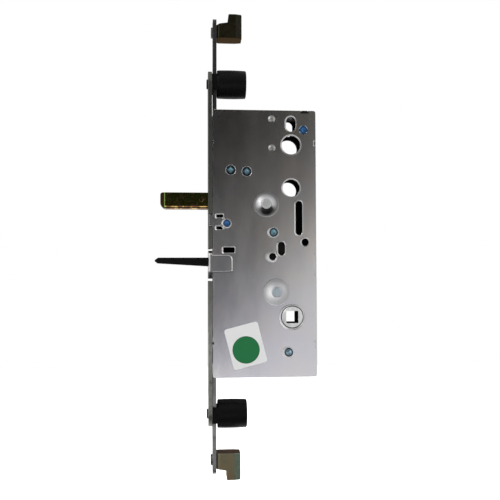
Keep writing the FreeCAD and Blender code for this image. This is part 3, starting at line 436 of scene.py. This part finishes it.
hooks = {
    "upper": {
        "face": [(0.3, (0.015, 0.014, 0.007)), (0.6, (0.020, 0.018, 0.010)), (0.8, (0.017, 0.019, 0.012))],
        "ends": [(0.35, (0.055, 0.042, 0.030)), (0.7, (0.045, 0.036, 0.026))],
        "corner": [(0.3, (0.016, 0.015, 0.010)), (0.7, (0.021, 0.020, 0.015))],
        "wear": (0.018, 0.017, 0.010),
    },
    "lower": {
        "face": [(0.3, (0.20, 0.145, 0.085)), (0.5, (0.19, 0.165, 0.10)), (0.75, (0.155, 0.155, 0.10))],
        "ends": [(0.3, (0.17, 0.095, 0.080)), (0.55, (0.15, 0.12, 0.10)), (0.75, (0.17, 0.09, 0.075))],
        "corner": [(0.3, (0.17, 0.23, 0.17)), (0.7, (0.21, 0.25, 0.19))],
        "wear": (0.40, 0.42, 0.34),
    },
    "rough": 0.42,
    "patchScale": 150.0,
    "patch": (260.0, 3.0, 0.6, 0.8),
    "cornerTurn": (0.12, 0.2),
    "endTurn": (0.5, 0.6),
    "wearWidth": 0.0004,
    "wearStops": [(0.90, 0.85), (0.995, 0.0)],
    "slantColour": (0.50, 0.44, 0.40),
}


def hookChromate(name, skin):
    # The film looks different on the sides, the ends (facing up or down) and the back corners, paler on worn edges
    material, tree, shader, place, film = chromate(name, skin["face"], hooks["rough"], hooks["patchScale"])
    patch = noise(tree, place, *hooks["patch"])
    facing = tree.nodes.new("ShaderNodeNewGeometry").outputs["Normal"]
    for direction, turn, part in (((1, 0, 0), "cornerTurn", "corner"), ((0, 0, 1), "endTurn", "ends"),
                                  ((0, 0, -1), "endTurn", "ends")):
        film = blendColour(tree, softStep(tree, facing, direction, *hooks[turn]), film, ramp(tree, patch, skin[part]))
    same = vectorMath(tree, "DOT_PRODUCT", softNormal(tree, hooks["wearWidth"]), facing)["Value"]
    shader.inputs["Specular Tint"].default_value = (*hooks["slantColour"], 1)
    worn = ramp(tree, same, hooks["wearStops"])
    tree.links.new(blendColour(tree, worn, film, skin["wear"]), shader.inputs["Base Color"])
    return material


def dress(material, *names):
    for name in names:
        nodes[name].data.materials.clear()
        nodes[name].data.materials.append(material)


springWire = plainSteel("springWire", (0.3, 0.3, 0.3), 0.35)
dress(springWire, "drive_spring", "bolt_spring")
dress(sheetSteel("zincSheet", sheetLook["edge"]), "case_cover", "case_tray", "spring_seat")
dress(sheetSteel("pressedSheet", sheetLook["pressedEdge"], heights=sheetLook["frameEndShade"]), "lever_frame")
dress(plainSteel("stripSteel", (0.34, 0.345, 0.31), 0.36, tones=plainLook["stripShadeTones"]),
      "upper_face_strip", "lower_face_strip")
dress(plainSteel("barSteel", (0.30, 0.30, 0.30), 0.36, tones=plainLook["barShadeTones"]),
      "upper_drive_strip", "lower_drive_strip")
dress(plainSteel("blackSteel", (0.02, 0.02, 0.019), 0.35), "bush_rivets")
dress(plainSteel("innerSteel", (0.10, 0.096, 0.09), 0.40, inside=True),
      "upper_slide_plate", "lower_slide_plate", "upper_strip_rivets", "lower_strip_rivets", "rocker", "rocker_pins",
      "follower_pin", "lever_crank", "crank_pin", "lever_pivot_pin", "screw_pillars")
dress(plainSteel("domeSteel", (0.27, 0.27, 0.26), 0.44), "case_rivets")
dress(plainSteel("rivetSteel", (0.62, 0.63, 0.63), 0.30, metal=0.6), "bolt_guide_pin")
dress(plainSteel("pivotSteel", (0.50, 0.58, 0.62), 0.30, metal=0.8), "rocker_pivot")
dress(plainSteel("blueZinc", (0.12, 0.3, 0.5), 0.3), "cover_screws", "inner_rivets")
dress(plainSteel("brightHub", (0.98, 0.98, 0.97), 0.3, inside=True), "follower_hub")
dress(plastic(), "upper_guide_bush", "lower_guide_bush", "operating_lever", "follower_rings")
dress(boltChromate(), "latch_bolt", "bolt_tail", "bolt_rivet")
dress(hookChromate("darkChromate", hooks["upper"]), "upper_hook")
dress(hookChromate("oliveChromate", hooks["lower"]), "lower_hook")
print("materials done")


# Paper label with a plain green disc printed on it
label = {
    "paper": (0.66, 0.665, 0.66),
    "paperDark": 0.95,
    "fibre": (1500.0, 5.0),
    "paperRough": 0.6,
    "bump": (0.1, 0.0001),
    "discCentre": (0.0245, -0.0671),
    "discRadius": 0.0090,
    "discLift": 0.00006,
    "discSink": 0.00002,
    "discRings": 24,
    "discSteps": 128,
    "green": (0.006, 0.140, 0.040),
    "greenRim": (0.004, 0.10, 0.028),
    "rimWidth": 0.0009,
    "ink": (900.0, 4.0),
    "inkTones": [(0.3, 0.9), (0.7, 1.0)],
    "inkRough": 0.55,
    "inkSpecular": 0.25,
    "flatten": (1, 0.001, 1),  # leaves the depth out of the distance
}


def paper():
    material, tree, shader, place = newMaterial("labelPaper")
    fibre = noise(tree, place, *label["fibre"])
    low = tuple(c * label["paperDark"] for c in label["paper"])
    tree.links.new(ramp(tree, fibre, [(0.3, low), (0.7, label["paper"])]), shader.inputs["Base Color"])
    shader.inputs["Roughness"].default_value = label["paperRough"]
    bumped(tree, shader, fibre, *label["bump"])
    return material


def greenInk():
    # Green over the disc with a darker outer band, told apart by the distance from its middle
    material, tree, shader, place = newMaterial("greenInk")
    x, z = label["discCentre"]
    away = vectorMath(tree, "DISTANCE", stretched(tree, place, label["flatten"]), (x, 0, z))["Value"]
    rim = between(tree, away, label["discRadius"] - label["rimWidth"], label["discRadius"])
    colour = blendColour(tree, rim, label["green"], label["greenRim"])
    ink = ramp(tree, noise(tree, place, *label["ink"]), label["inkTones"])
    tree.links.new(multiplied(tree, colour, ink), shader.inputs["Base Color"])
    shader.inputs["Roughness"].default_value = label["inkRough"]
    shader.inputs["Specular IOR Level"].default_value = label["inkSpecular"]
    return material


def labelDisc():
    # Rings of points round the middle; the height falls into the label only over the last ring, and a flat fan
    # closes the underside
    rings, steps = label["discRings"], label["discSteps"]
    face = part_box("blank_label")[0].y
    x, z = label["discCentre"]
    r = np.linspace(0, 1, rings + 1)[1:, None] * label["discRadius"]
    t = np.linspace(0, 2 * np.pi, steps, endpoint=False)[None, :]
    drop = np.where(np.arange(rings)[:, None] < rings - 1, 0.0, label["discLift"] + label["discSink"])
    grid = np.stack([x + r * np.cos(t), face - label["discLift"] + drop + 0 * t, z + r * np.sin(t)], -1)
    middle = np.array([[x, face - label["discLift"], z], [x, face + label["discSink"], z]])
    points = np.vstack([middle, grid.reshape(-1, 3)])
    disc = newPiece("label_disc", points, capFaces(rings, steps), greenInk())
    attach(disc, "case")


dress(paper(), "blank_label")
labelDisc()
print("label done")


# Coil springs of the drive bar and the bolt, in millimetres: each has closed end turns
springs = {
    "drive_coil": {"node": "drive_spring", "joint": "lower_bar_slide", "travel": 13.0, "radius": 2.75, "wire": 0.9,
                   "turns": 8, "axis": (0, 0, 1), "side": (1, 0, 0)},
    "bolt_coil": {"node": "bolt_spring", "joint": "bolt_slide", "travel": 28.0, "radius": 1.95, "wire": 0.7,
                  "turns": 11, "axis": (1, 0, 0), "side": (0, 1, 0)},
}
coil = {
    "steps": 40,           # along one turn
    "sides": 12,           # round the wire
    "closedRise": 1.02,    # rise over a closed turn, in wire thicknesses
    "endRoom": 1.2,        # the same for the room that the ends take
    "foot": 0.55,          # from the foot to the wire's middle
    "closedTurn": 0.85,    # turns that stay closed at each end
    "easeTurn": 0.3,       # turns over which the rise grows
}


def springCoil(spring, foot, length):
    # A round wire carried along a helix; its rise per turn is the wire's thickness over the first and last turn,
    # and even between them, so the height is the running sum of that rise
    around, sides, wire, turns = coil["steps"], coil["sides"], spring["wire"], spring["turns"]
    axis, side = np.array(spring["axis"], float), np.array(spring["side"], float)
    other = np.cross(axis, side)
    t = np.linspace(0, turns, turns * around + 1)
    closed = coil["closedRise"] * wire
    even = (length - wire * coil["endRoom"] - 2 * closed) / (turns - 2)
    ease = np.clip((np.minimum(t, turns - t) - coil["closedTurn"]) / coil["easeTurn"], 0, 1)
    rise = closed + (even - closed) * ease
    up = np.concatenate([[0], np.cumsum((rise[1:] + rise[:-1]) / 2 / around)])
    up = (length - wire * 2 * coil["foot"]) * up / up[-1] + wire * coil["foot"]
    angle = 2 * np.pi * t
    out = np.cos(angle)[:, None] * side + np.sin(angle)[:, None] * other
    forward = np.cos(angle)[:, None] * other - np.sin(angle)[:, None] * side
    along = forward * 2 * np.pi * spring["radius"] + np.gradient(up, t)[:, None] * axis
    along /= np.linalg.norm(along, axis=1, keepdims=True)
    lift = np.cross(along, out)
    turn = np.linspace(0, 2 * np.pi, sides, endpoint=False)
    ring = np.cos(turn)[None, :, None] * out[:, None] + np.sin(turn)[None, :, None] * lift[:, None]
    middle = foot + out * spring["radius"] + up[:, None] * axis
    grid = middle[:, None] + ring * wire / 2
    points = np.vstack([grid.reshape(-1, 3), middle[:1], middle[-1:]])
    k = np.arange(sides)
    following = np.roll(k, -1)
    quads = ringQuads(len(t), sides, 0)[:, [0, 3, 2, 1]]  # the wire's rings turn the other way
    last = (len(t) - 1) * sides
    fans = [(last + sides, b, a) for a, b in zip(k, following)]
    fans += [(last + sides + 1, last + a, last + b) for a, b in zip(k, following)]
    return points / 1000, quads.tolist() + fans


def makeSprings():
    for name, spring in springs.items():
        low, high = (np.array(corner) * 1000 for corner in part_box(spring["node"]))
        axis = np.array(spring["axis"], float)
        middle = (low + high) / 2 * (1 - axis)
        foot, top = middle + low * axis, middle + high * axis
        length = float((high - low) @ axis)
        points, faces = springCoil(spring, foot, length)
        piece = newPiece(name, points, faces, springWire)
        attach(piece, "case")
        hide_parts(spring["node"])
        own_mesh(piece)


makeSprings()
print("springs done")


# Raised lips that punching left round the openings, and soft bulges round the pins, in millimetres; their skin
# carries painted light and shade.
# Values in brackets start at the right and go round over the top; one value holds all round
lips = {
    "round": [(54.7, 67.6, 6.4), (54.7, 39.0, 5.85), (63.8, 3.2, 2.6)],
    "long": [(54.7, 81.5, 3.4, 5.1), (59.8, 19.1, 2.5, 11.5), (48.1, -1.1, 2.6, 4.7)],
    "square": [(13.5, -2.0, 4.0, 2.0, 1.0), (7.5, 20.3, 2.5, 1.2, 0.8), (7.5, 12.5, 2.5, 1.2, 0.8)],
    "roundLip": {"heights": (0.08, 0.22, 0.15, 0.04), "widths": (0.7, 0.9, 0.9, 0.7), "foots": 2.4, "tops": 2},
    "slotLip": {"heights": (0.01, 0.20, 0.16, 0.010), "widths": (0.5, 0.8, 0.9, 0.5), "foots": 2.4, "tops": 2},
    # painted light and shade: the lips lighter at the upper left and dark below their openings
    "shadedLipSkin": {"tones": (0.50, 0.80, 0.95, 0.12), "burnish": (0.55, 0.65, 0.55, 0.5)},
    "calm": 4,                # openings with the shaded lip skin: the round ones and the first long one
    "steps": 18,              # in a quarter turn
    "depth": 0.7,
    "wall": 0.22,             # how far the skin reaches into the opening
    "wallTops": (0.4, 0.9),   # heights of the wall's last two points, as shares of the lip's height
    "wallTopIn": 0.3,         # the last one's share of the wall's reach
    "slopeStart": 0.04,       # outwards from the opening's edge, like footIn, where the underside ends
    "slopePoints": 19,
    "underSheet": [(0.12, 0.004), (0.45, 0.02), (0.75, 0.10)],  # past the foot, and how deep
    "footIn": 0.15,
    "nearFoot": 0.86,         # where the middle values hold, as a share of the slope
    "innerPower": 0.8,
    "plainPower": 1.6,
    # painted shade: a fine darker line beside the head
    "headShadeLine": 0.25,
    "headShadeWidth": 0.08,
    # painted light and shade on the bulges round the pins: tones bright at the upper left, and a painted shadow under
    # the guide pin's head
    "halos": [
        {"spot": (42.2, -6.3), "inner": 2.6, "heights": (0.03, 0.10, 0.20, 0.10), "widths": (0.9, 1.6, 3.2, 1.6),
         "foots": 4, "tops": (2, 2, 1.5, 2), "burnish": (0.0, 0.3, 0.6, 0.2)},
        {"spot": (12.1, 15.6), "inner": 2.5, "heights": (0.05, 0.05, 0.16, 0.08), "widths": (0.9, 0.9, 1.3, 0.9),
         "foots": 3, "tops": 2, "burnish": (0.3, 0.3, 0.8, 0.3)},
        {"spot": (42.9, 9.7), "inner": 3.0, "heights": (0.03, 0.06, 0.14, 0.04), "widths": (0.7, 1.0, 1.7, 0.7),
         "foots": 3, "tops": 2, "burnish": (0.0, 0.3, 0.8, 0.1)},
        {"spot": (55.0, -46.0), "inner": 7.7, "heights": (0.10, 0.10, 0.18, 0.14), "widths": (0.9, 0.9, 1.2, 0.9),
         "foots": 2, "tops": 2, "burnish": (0.5, 0.6, 0.9, 0.6)},
        {"spot": (52.6, -69.0), "inner": 3.0, "heights": (0.04, 0.04, 0.09, 0.05), "widths": (0.8, 0.8, 2.2, 1.4),
         "foots": 3, "tops": 2, "burnish": (0.0, 0.0, 0.9, 0.7)},
        {"spot": (38.0, 28.1), "inner": 3.0, "heights": 1.65, "widths": 5.5, "foots": 3, "tops": 2,
         "burnish": (0.9, 0.9, 0.8, 0.9), "tones": (0.95, 1.0, 1.0, 1.3, 1.6, -0.1, -0.9, -0.4),
         "mids": (0.20, 0.14, 0.24, 0.24), "rim": 0.75},
        {"spot": (44.7, -29.6), "inner": 3.1, "heights": 1.05, "widths": 5.8, "foots": 3, "tops": 2,
         "burnish": (0.9, 0.9, 0.9, 1.0), "tones": (0.90, 0.95, 1.6, 1.15),
         "mids": (0.60, 0.46, 0.62, 0.66), "rim": 0.95},
    ],
}


def roundTurn(values, t):
    # Values at even steps from the right over the top, joined by half cosines along the turn
    values = np.ravel(values).astype(float)
    ring = np.append(values, values[0])
    place = t / (2 * np.pi / len(values))
    low = np.floor(place).astype(int)
    share = 0.5 - 0.5 * np.cos(np.pi * (place - low))
    return (ring[low] * (1 - share) + ring[low + 1] * share)[:, None]


def lipProfile(height, width, foot, top):
    # Distances outwards from the opening and heights over the sheet: wall, small round, bell-shaped slope; the
    # slope is height times (1 - u to the power top) to the power foot, then the foot slips under the sheet
    u = np.linspace(0, 1, lips["slopePoints"])
    wall, start = lips["wall"] + 0 * width, lips["slopeStart"]
    deep = 0 * height - lips["depth"]
    away = [-wall, -wall, -lips["wallTopIn"] * wall, start + u * (width - start)]
    rise = [deep, *(share * height for share in lips["wallTops"]), height * (1 - u ** top) ** foot]
    for out, sink in lips["underSheet"]:
        away.append(width + out)
        rise.append(0 * height - sink)
    return np.stack([np.hstack([*away, 0 * width + lips["footIn"]]), np.hstack([*rise, deep])], -1)


def lipRing(x, z, halfX, halfZ, r, shape):
    # The profile carried round a rounded rectangle whose quarter turns keep their own corner centres
    steps = lips["steps"] * 4
    t = (np.arange(steps) + 0.5) / steps * 2 * np.pi
    out = np.stack([np.cos(t), np.sin(t)], -1)
    corner = np.sign(out) * np.array([halfX - r, halfZ - r])
    profile = lipProfile(*(roundTurn(shape[key], t) for key in ("heights", "widths", "foots", "tops")))
    flat = corner[:, None, :] + out[:, None, :] * (r + profile[..., :1])
    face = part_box("case_tray")[0].y * 1000
    return np.stack([x + flat[..., 0], face - profile[..., 1], z + flat[..., 1]], -1) / 1000


def outwardShare(values, mids, rim, shape):
    # The turn's value beside the opening, its middle value near the foot and the rim's at the foot, lower in a
    # fine line beside the head, which paints shade there; or without middle values straight to the rim by a power of
    # v, v from 0 to 1
    wallPoints = 1 + len(lips["wallTops"])
    t = (np.arange(shape[0]) + 0.5) / shape[0] * 2 * np.pi
    v = np.clip((np.arange(shape[1]) - wallPoints) / (lips["slopePoints"] - 1), 0, 1)[None, :]
    first = roundTurn(values, t)
    if mids is None:
        plain = v ** lips["plainPower"]
        return first * (1 - plain) + rim * plain
    middle, half = roundTurn(mids, t), lips["nearFoot"]
    inner, outer = np.clip(v / half, 0, 1) ** lips["innerPower"], np.clip((v - half) / (1 - half), 0, 1)
    line = lips["headShadeLine"] + (1 - lips["headShadeLine"]) * np.clip(v / lips["headShadeWidth"], 0, 1)
    return line * ((first * (1 - inner) + middle * inner) * (1 - outer) + rim * outer)


def closedGrid(grid, start):
    # Quads of a grid that closes on itself both ways
    a, b = grid.shape[:2]
    i, j = np.meshgrid(np.arange(a), np.arange(b), indexing="ij")
    i2, j2 = (i + 1) % a, (j + 1) % b
    return (start + np.stack([i * b + j, i * b + j2, i2 * b + j2, i2 * b + j], -1)).reshape(-1, 4)


def makeLips():
    rings = [lipRing(x, z, r, r, r, lips["roundLip"]) for x, z, r in lips["round"]]
    rings += [lipRing(x, z, a, b, a, lips["slotLip"]) for x, z, a, b in lips["long"]]
    rings += [lipRing(x, z, a, b, r, lips["slotLip"]) for x, z, a, b, r in lips["square"]]
    skins = [lips["shadedLipSkin"]] * lips["calm"] + [{}] * (len(rings) - lips["calm"]) + lips["halos"]
    rings += [lipRing(*halo["spot"], *[halo["inner"]] * 3, halo) for halo in lips["halos"]]
    points, faces, start = [], [], 0
    kept = {"burnish": [], "lightAndShade": []}
    for grid, skin in zip(rings, skins):
        points.append(grid.reshape(-1, 3))
        faces += closedGrid(grid, start).tolist()
        start += len(points[-1])
        burnish, mids = skin.get("burnish", 0), skin.get("mids")
        kept["burnish"].append(outwardShare(burnish, mids and burnish, 0.0, grid.shape).ravel())
        # painted light and shade kept on each point
        lightAndShade = outwardShare(skin.get("tones", 1), mids, skin.get("rim", 1.0), grid.shape)
        kept["lightAndShade"].append(np.clip(lightAndShade, 0, None).ravel())
    material = sheetSteel("burnishedShadedSheet", sheetLook["edge"], burnishAndShade=True)
    piece = newPiece("punched_lips", np.vstack(points), faces, material)
    for name, values in kept.items():
        piece.data.attributes.new(name, "FLOAT", "POINT").data.foreach_set("value", np.concatenate(values))
    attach(piece, "case")


makeLips()
print("punched lips done")


# Ends of the fasteners: four-sided or round, with a soft rim and a dished middle, in millimetres
fasteners = {
    "heads": [
        {"node": "cover_screws", "spot": (63.1, 77.8), "half": 3.15, "power": 1.12, "dish": 0.20, "skin": "blue"},
        {"node": "cover_screws", "spot": (14.7, 50.7), "half": 2.75, "power": 1.12, "dish": 0.22, "skin": "teal"},
        {"node": "cover_screws", "spot": (25.3, 49.8), "half": 2.8, "power": 1.12, "dish": 0.22, "skin": "teal"},
        {"node": "cover_screws", "spot": (52.6, -69.0), "half": 2.62, "power": 2.0, "dish": 0.30, "skin": "slate"},
        {"node": "inner_rivets", "spot": (12.1, 15.6), "half": 2.5, "power": 1.7, "dish": 0.14, "skin": "blue"},
        {"node": "inner_rivets", "spot": (42.9, 9.7), "half": 2.85, "power": 2.0, "dish": 0.26, "skin": "teal"},
    ],
    "rim": 0.34,
    "rimPower": 8,
    "dishReach": 0.7,
    "rings": 22,
    "steps": 72,
    "skins": {
        # the second colour of each skin is the painted shade at the rim
        "blue": ((0.050, 0.175, 0.44), (0.018, 0.042, 0.10)),
        "teal": ((0.17, 0.31, 0.38), (0.014, 0.035, 0.045)),
        "slate": ((0.30, 0.42, 0.50), (0.02, 0.05, 0.085)),
    },
    "rimShadeShare": (0.52, 0.86),  # where the painted shade begins and where it is full
    "cloud": (800.0, 4.0),
    "cloudTones": [(0.3, 0.78), (0.7, 1.0)],
    "metal": 0.75,
    "rough": 0.24,
    "grain": (1500.0, 3.0),
    "bump": (0.12, 0.0001),
}


def fastenerSkin(name, middle, edge):
    # Clear blue over the dished middle, with painted shade darker towards the rim by the rim share kept on each point
    material, tree, shader, place = newMaterial(name)
    share = between(tree, pointValue(tree, "rimShare")["Fac"], *fasteners["rimShadeShare"])
    cloud = ramp(tree, noise(tree, place, *fasteners["cloud"]), fasteners["cloudTones"])
    colour = blendColour(tree, share, middle, edge)
    tree.links.new(multiplied(tree, colour, cloud), shader.inputs["Base Color"])
    shader.inputs["Metallic"].default_value = fasteners["metal"]
    shader.inputs["Roughness"].default_value = fasteners["rough"]
    bumped(tree, shader, noise(tree, place, *fasteners["grain"]), *fasteners["bump"])
    return material


def fastenerCap(head, face):
    # Outline: power curve, four-sided towards power 1 and a circle at 2; height over the face: rim times the root
    # of (1 - u to the rim power), less the dish times (1 - (u over its reach) squared) squared
    rings, steps, rim, power = fasteners["rings"], fasteners["steps"], fasteners["rim"], head["power"]
    u = np.linspace(0, 1, rings + 1)[1:, None]
    t = np.linspace(0, 2 * np.pi, steps, endpoint=False)[None, :]
    reach = head["half"] / (np.abs(np.cos(t)) ** power + np.abs(np.sin(t)) ** power) ** (1 / power)
    dish = head["dish"] * np.clip(1 - (u / fasteners["dishReach"]) ** 2, 0, 1) ** 2
    height = rim * np.sqrt(np.clip(1 - u ** fasteners["rimPower"], 0, 1)) - dish + 0 * t
    x, z = head["spot"]
    grid = np.stack([x + u * reach * np.cos(t), face - height, z + u * reach * np.sin(t)], -1)
    middle = np.array([[x, face - (rim - head["dish"]), z], [x, face, z]])
    points = np.vstack([middle, grid.reshape(-1, 3)]) / 1000
    share = np.concatenate([[0.0, 1.0], np.repeat(u[:, 0], steps)])
    return points, capFaces(rings, steps), share


def makeFasteners():
    skins = {name: fastenerSkin(name + "Zinc", *colours) for name, colours in fasteners["skins"].items()}
    for number, head in enumerate(fasteners["heads"]):
        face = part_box(head["node"])[0].y * 1000
        points, faces, share = fastenerCap(head, face)
        cap = newPiece("fastener_end_%d" % (number + 1), points, faces, skins[head["skin"]])
        cap.data.attributes.new("rimShare", "FLOAT", "POINT").data.foreach_set("value", share)
        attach(cap, "case")


makeFasteners()
print("fasteners done")


# Floor, lights and the white surroundings, with the cards that the steel reflects
studio = {
    "floorHeight": -0.275,
    "floorSize": 3.0,
    "floorColour": (0.86, 0.86, 0.86),
    "floorRough": 0.8,
    "worldGrey": 0.72,
    "lights": [("key", (-0.62, -0.50, 0.62), 0.5, 4.5), ("fill", (0.75, -0.55, 0.35), 0.7, 2.0)],
    "aim": (0.03, 0.0, 0.0),
    "cardDistance": 1.05,
    "cardLow": (-0.46, -0.80),
    "cardHigh": (1.20, 1.30),
    "cardStart": (0.033, 0.344),
    "cardSlant": 37.7,
    "cardReach": 0.5215,
    "cardTones": [(0.0, 0.020), (0.06, 0.026), (0.21, 0.062), (0.35, 0.118), (0.43, 0.155), (0.52, 0.235),
                  (0.583, 0.36), (0.66, 0.51), (0.717, 0.76), (0.79, 0.90), (1.0, 0.98)],
    "cardAcross": (-0.13, 0.478),
    "cardTints": [(0.0, (1.0, 1.0, 0.90)), (0.18, (1.05, 0.985, 0.93)), (0.46, (1.01, 1.0, 0.97)),
                  (0.64, (1.0, 0.99, 1.04)), (0.86, (0.97, 0.965, 1.08))],
    "leftSlant": 0.5,
    "leftFade": (-0.045, -0.14),
    "rightFade": (0.36, 0.55),
    "rightGrey": 0.35,
    "topFade": (0.60, 0.80),
    "topGrey": 0.62,
    "rearSlant": (-0.6, 0, -0.8),
    "rearSpan": (-0.7, 0.5),
    "rearTones": [(0.0, 0.10), (0.4, 0.30), (0.7, 0.65), (1.0, 0.95)],
    "tableTones": [(0.0, 0.03), (0.5, 0.05), (0.75, 0.25), (1.0, 0.7)],
    "tableLift": 0.01,
    "tableX": (-0.35, 0.50),
    "tableY": (-0.42, -0.02),
    "tableFront": (0.09, -0.80),
}


def showWhite(tree):
    # 1 for camera, glossy and transmission rays, 0 for the light that falls on the lock
    path = tree.nodes.new("ShaderNodeLightPath")
    return largest(tree, *(path.outputs["Is %s Ray" % kind] for kind in ("Camera", "Glossy", "Transmission")))


def flatCard(name, corners):
    # A plain flat sheet of card
    mesh = bpy.data.meshes.new(name)
    mesh.from_pydata(corners, [], [tuple(range(len(corners)))])
    card = bpy.data.objects.new(name, mesh)
    scene.collection.objects.link(card)
    return card


def glowing(card):
    material, tree, shader, place = newMaterial(card.name)
    tree.nodes.remove(shader)
    glow = tree.nodes.new("ShaderNodeEmission")
    tree.links.new(glow.outputs[0], tree.nodes["Material Output"].inputs["Surface"])
    card.data.materials.append(material)
    return tree, glow.inputs["Color"], place


def areaLight(name, place, size, watts):
    light = bpy.data.lights.new(name, "AREA")
    light.size = size
    light.energy = watts
    lamp = bpy.data.objects.new(name, light)
    lamp.location = place
    lamp.rotation_euler = (Vector(studio["aim"]) - Vector(place)).to_track_quat("-Z", "Y").to_euler()
    scene.collection.objects.link(lamp)


def makeStudio():
    world = bpy.data.worlds.new("studio")
    scene.world = world
    world.use_nodes = True
    tree = world.node_tree
    colour = blendColour(tree, showWhite(tree), (studio["worldGrey"],) * 3, white)
    tree.links.new(colour, tree.nodes["Background"].inputs["Color"])
    half, low = studio["floorSize"] / 2, studio["floorHeight"]
    floor = flatCard("floor", [(-half, -half, low), (half, -half, low), (half, half, low), (-half, half, low)])
    material, tree, shader, place = newMaterial("paleFloor")
    shader.inputs["Base Color"].default_value = (*studio["floorColour"], 1)
    shader.inputs["Roughness"].default_value = studio["floorRough"]
    shader.inputs["Emission Color"].default_value = (*white, 1)
    tree.links.new(showWhite(tree), shader.inputs["Emission Strength"])
    floor.data.materials.append(material)
    for light in studio["lights"]:
        areaLight(*light)


def gradedGlow(card):
    # From dark at upper left to light at lower right, with a tint that turns from warm to lavender across, grey past
    # the right and upper edges and white past the left one
    tree, glow, place = glowing(card)
    slant = math.radians(studio["cardSlant"])
    down = (math.cos(slant), 0, -math.sin(slant))
    across = (-math.sin(slant), 0, -math.cos(slant))
    start = Vector((studio["cardStart"][0], 0, studio["cardStart"][1]))
    begin, side = start.dot(Vector(down)), start.dot(Vector(across))
    lightAndShade = ramp(tree, softStep(tree, place, down, begin, begin + studio["cardReach"]), studio["cardTones"])
    first, last = studio["cardAcross"]
    tint = ramp(tree, softStep(tree, place, across, side + first, side + last), studio["cardTints"])
    colour = multiplied(tree, lightAndShade, tint)
    for direction, fade, beyond in (((1, 0, 0), "rightFade", (studio["rightGrey"],) * 3),
                                    ((1, 0, studio["leftSlant"]), "leftFade", white),
                                    ((0, 0, 1), "topFade", (studio["topGrey"],) * 3)):
        colour = blendColour(tree, softStep(tree, place, direction, *studio[fade]), colour, beyond)
    tree.links.new(colour, glow)


def makeCards():
    # The graded card stands behind the camera, the rear card behind the lock, the table lies under it
    (x0, z0), (x1, z1), y = studio["cardLow"], studio["cardHigh"], -studio["cardDistance"]
    corners = [(x0, z0), (x1, z0), (x1, z1), (x0, z1)]
    card = flatCard("gradedCard", [(x, y, z) for x, z in corners])
    gradedGlow(card)
    level = studio["floorHeight"] + studio["tableLift"]
    (x0, x1), (y0, y1), (x2, y2) = studio["tableX"], studio["tableY"], studio["tableFront"]
    table = flatCard("darkTable", [(x0, y0, level), (x2, y0, level), (x2, y2, level), (x1, y2, level),
                                   (x1, y1, level), (x0, y1, level)])
    rear = flatCard("rearCard", [(x, -y, z) for x, z in reversed(corners)])
    for sheet, direction, span, tones in ((table, (0, 1, 0), (y0, y1), studio["tableTones"]),
                                          (rear, studio["rearSlant"], studio["rearSpan"], studio["rearTones"])):
        tree, glow, place = glowing(sheet)
        tree.links.new(ramp(tree, softStep(tree, place, direction, *span), tones), glow)
    for sheet in (card, table, rear):
        sheet.visible_camera = False
        sheet.visible_diffuse = False
        sheet.visible_shadow = False


makeCards()
makeStudio()
print("studio done")
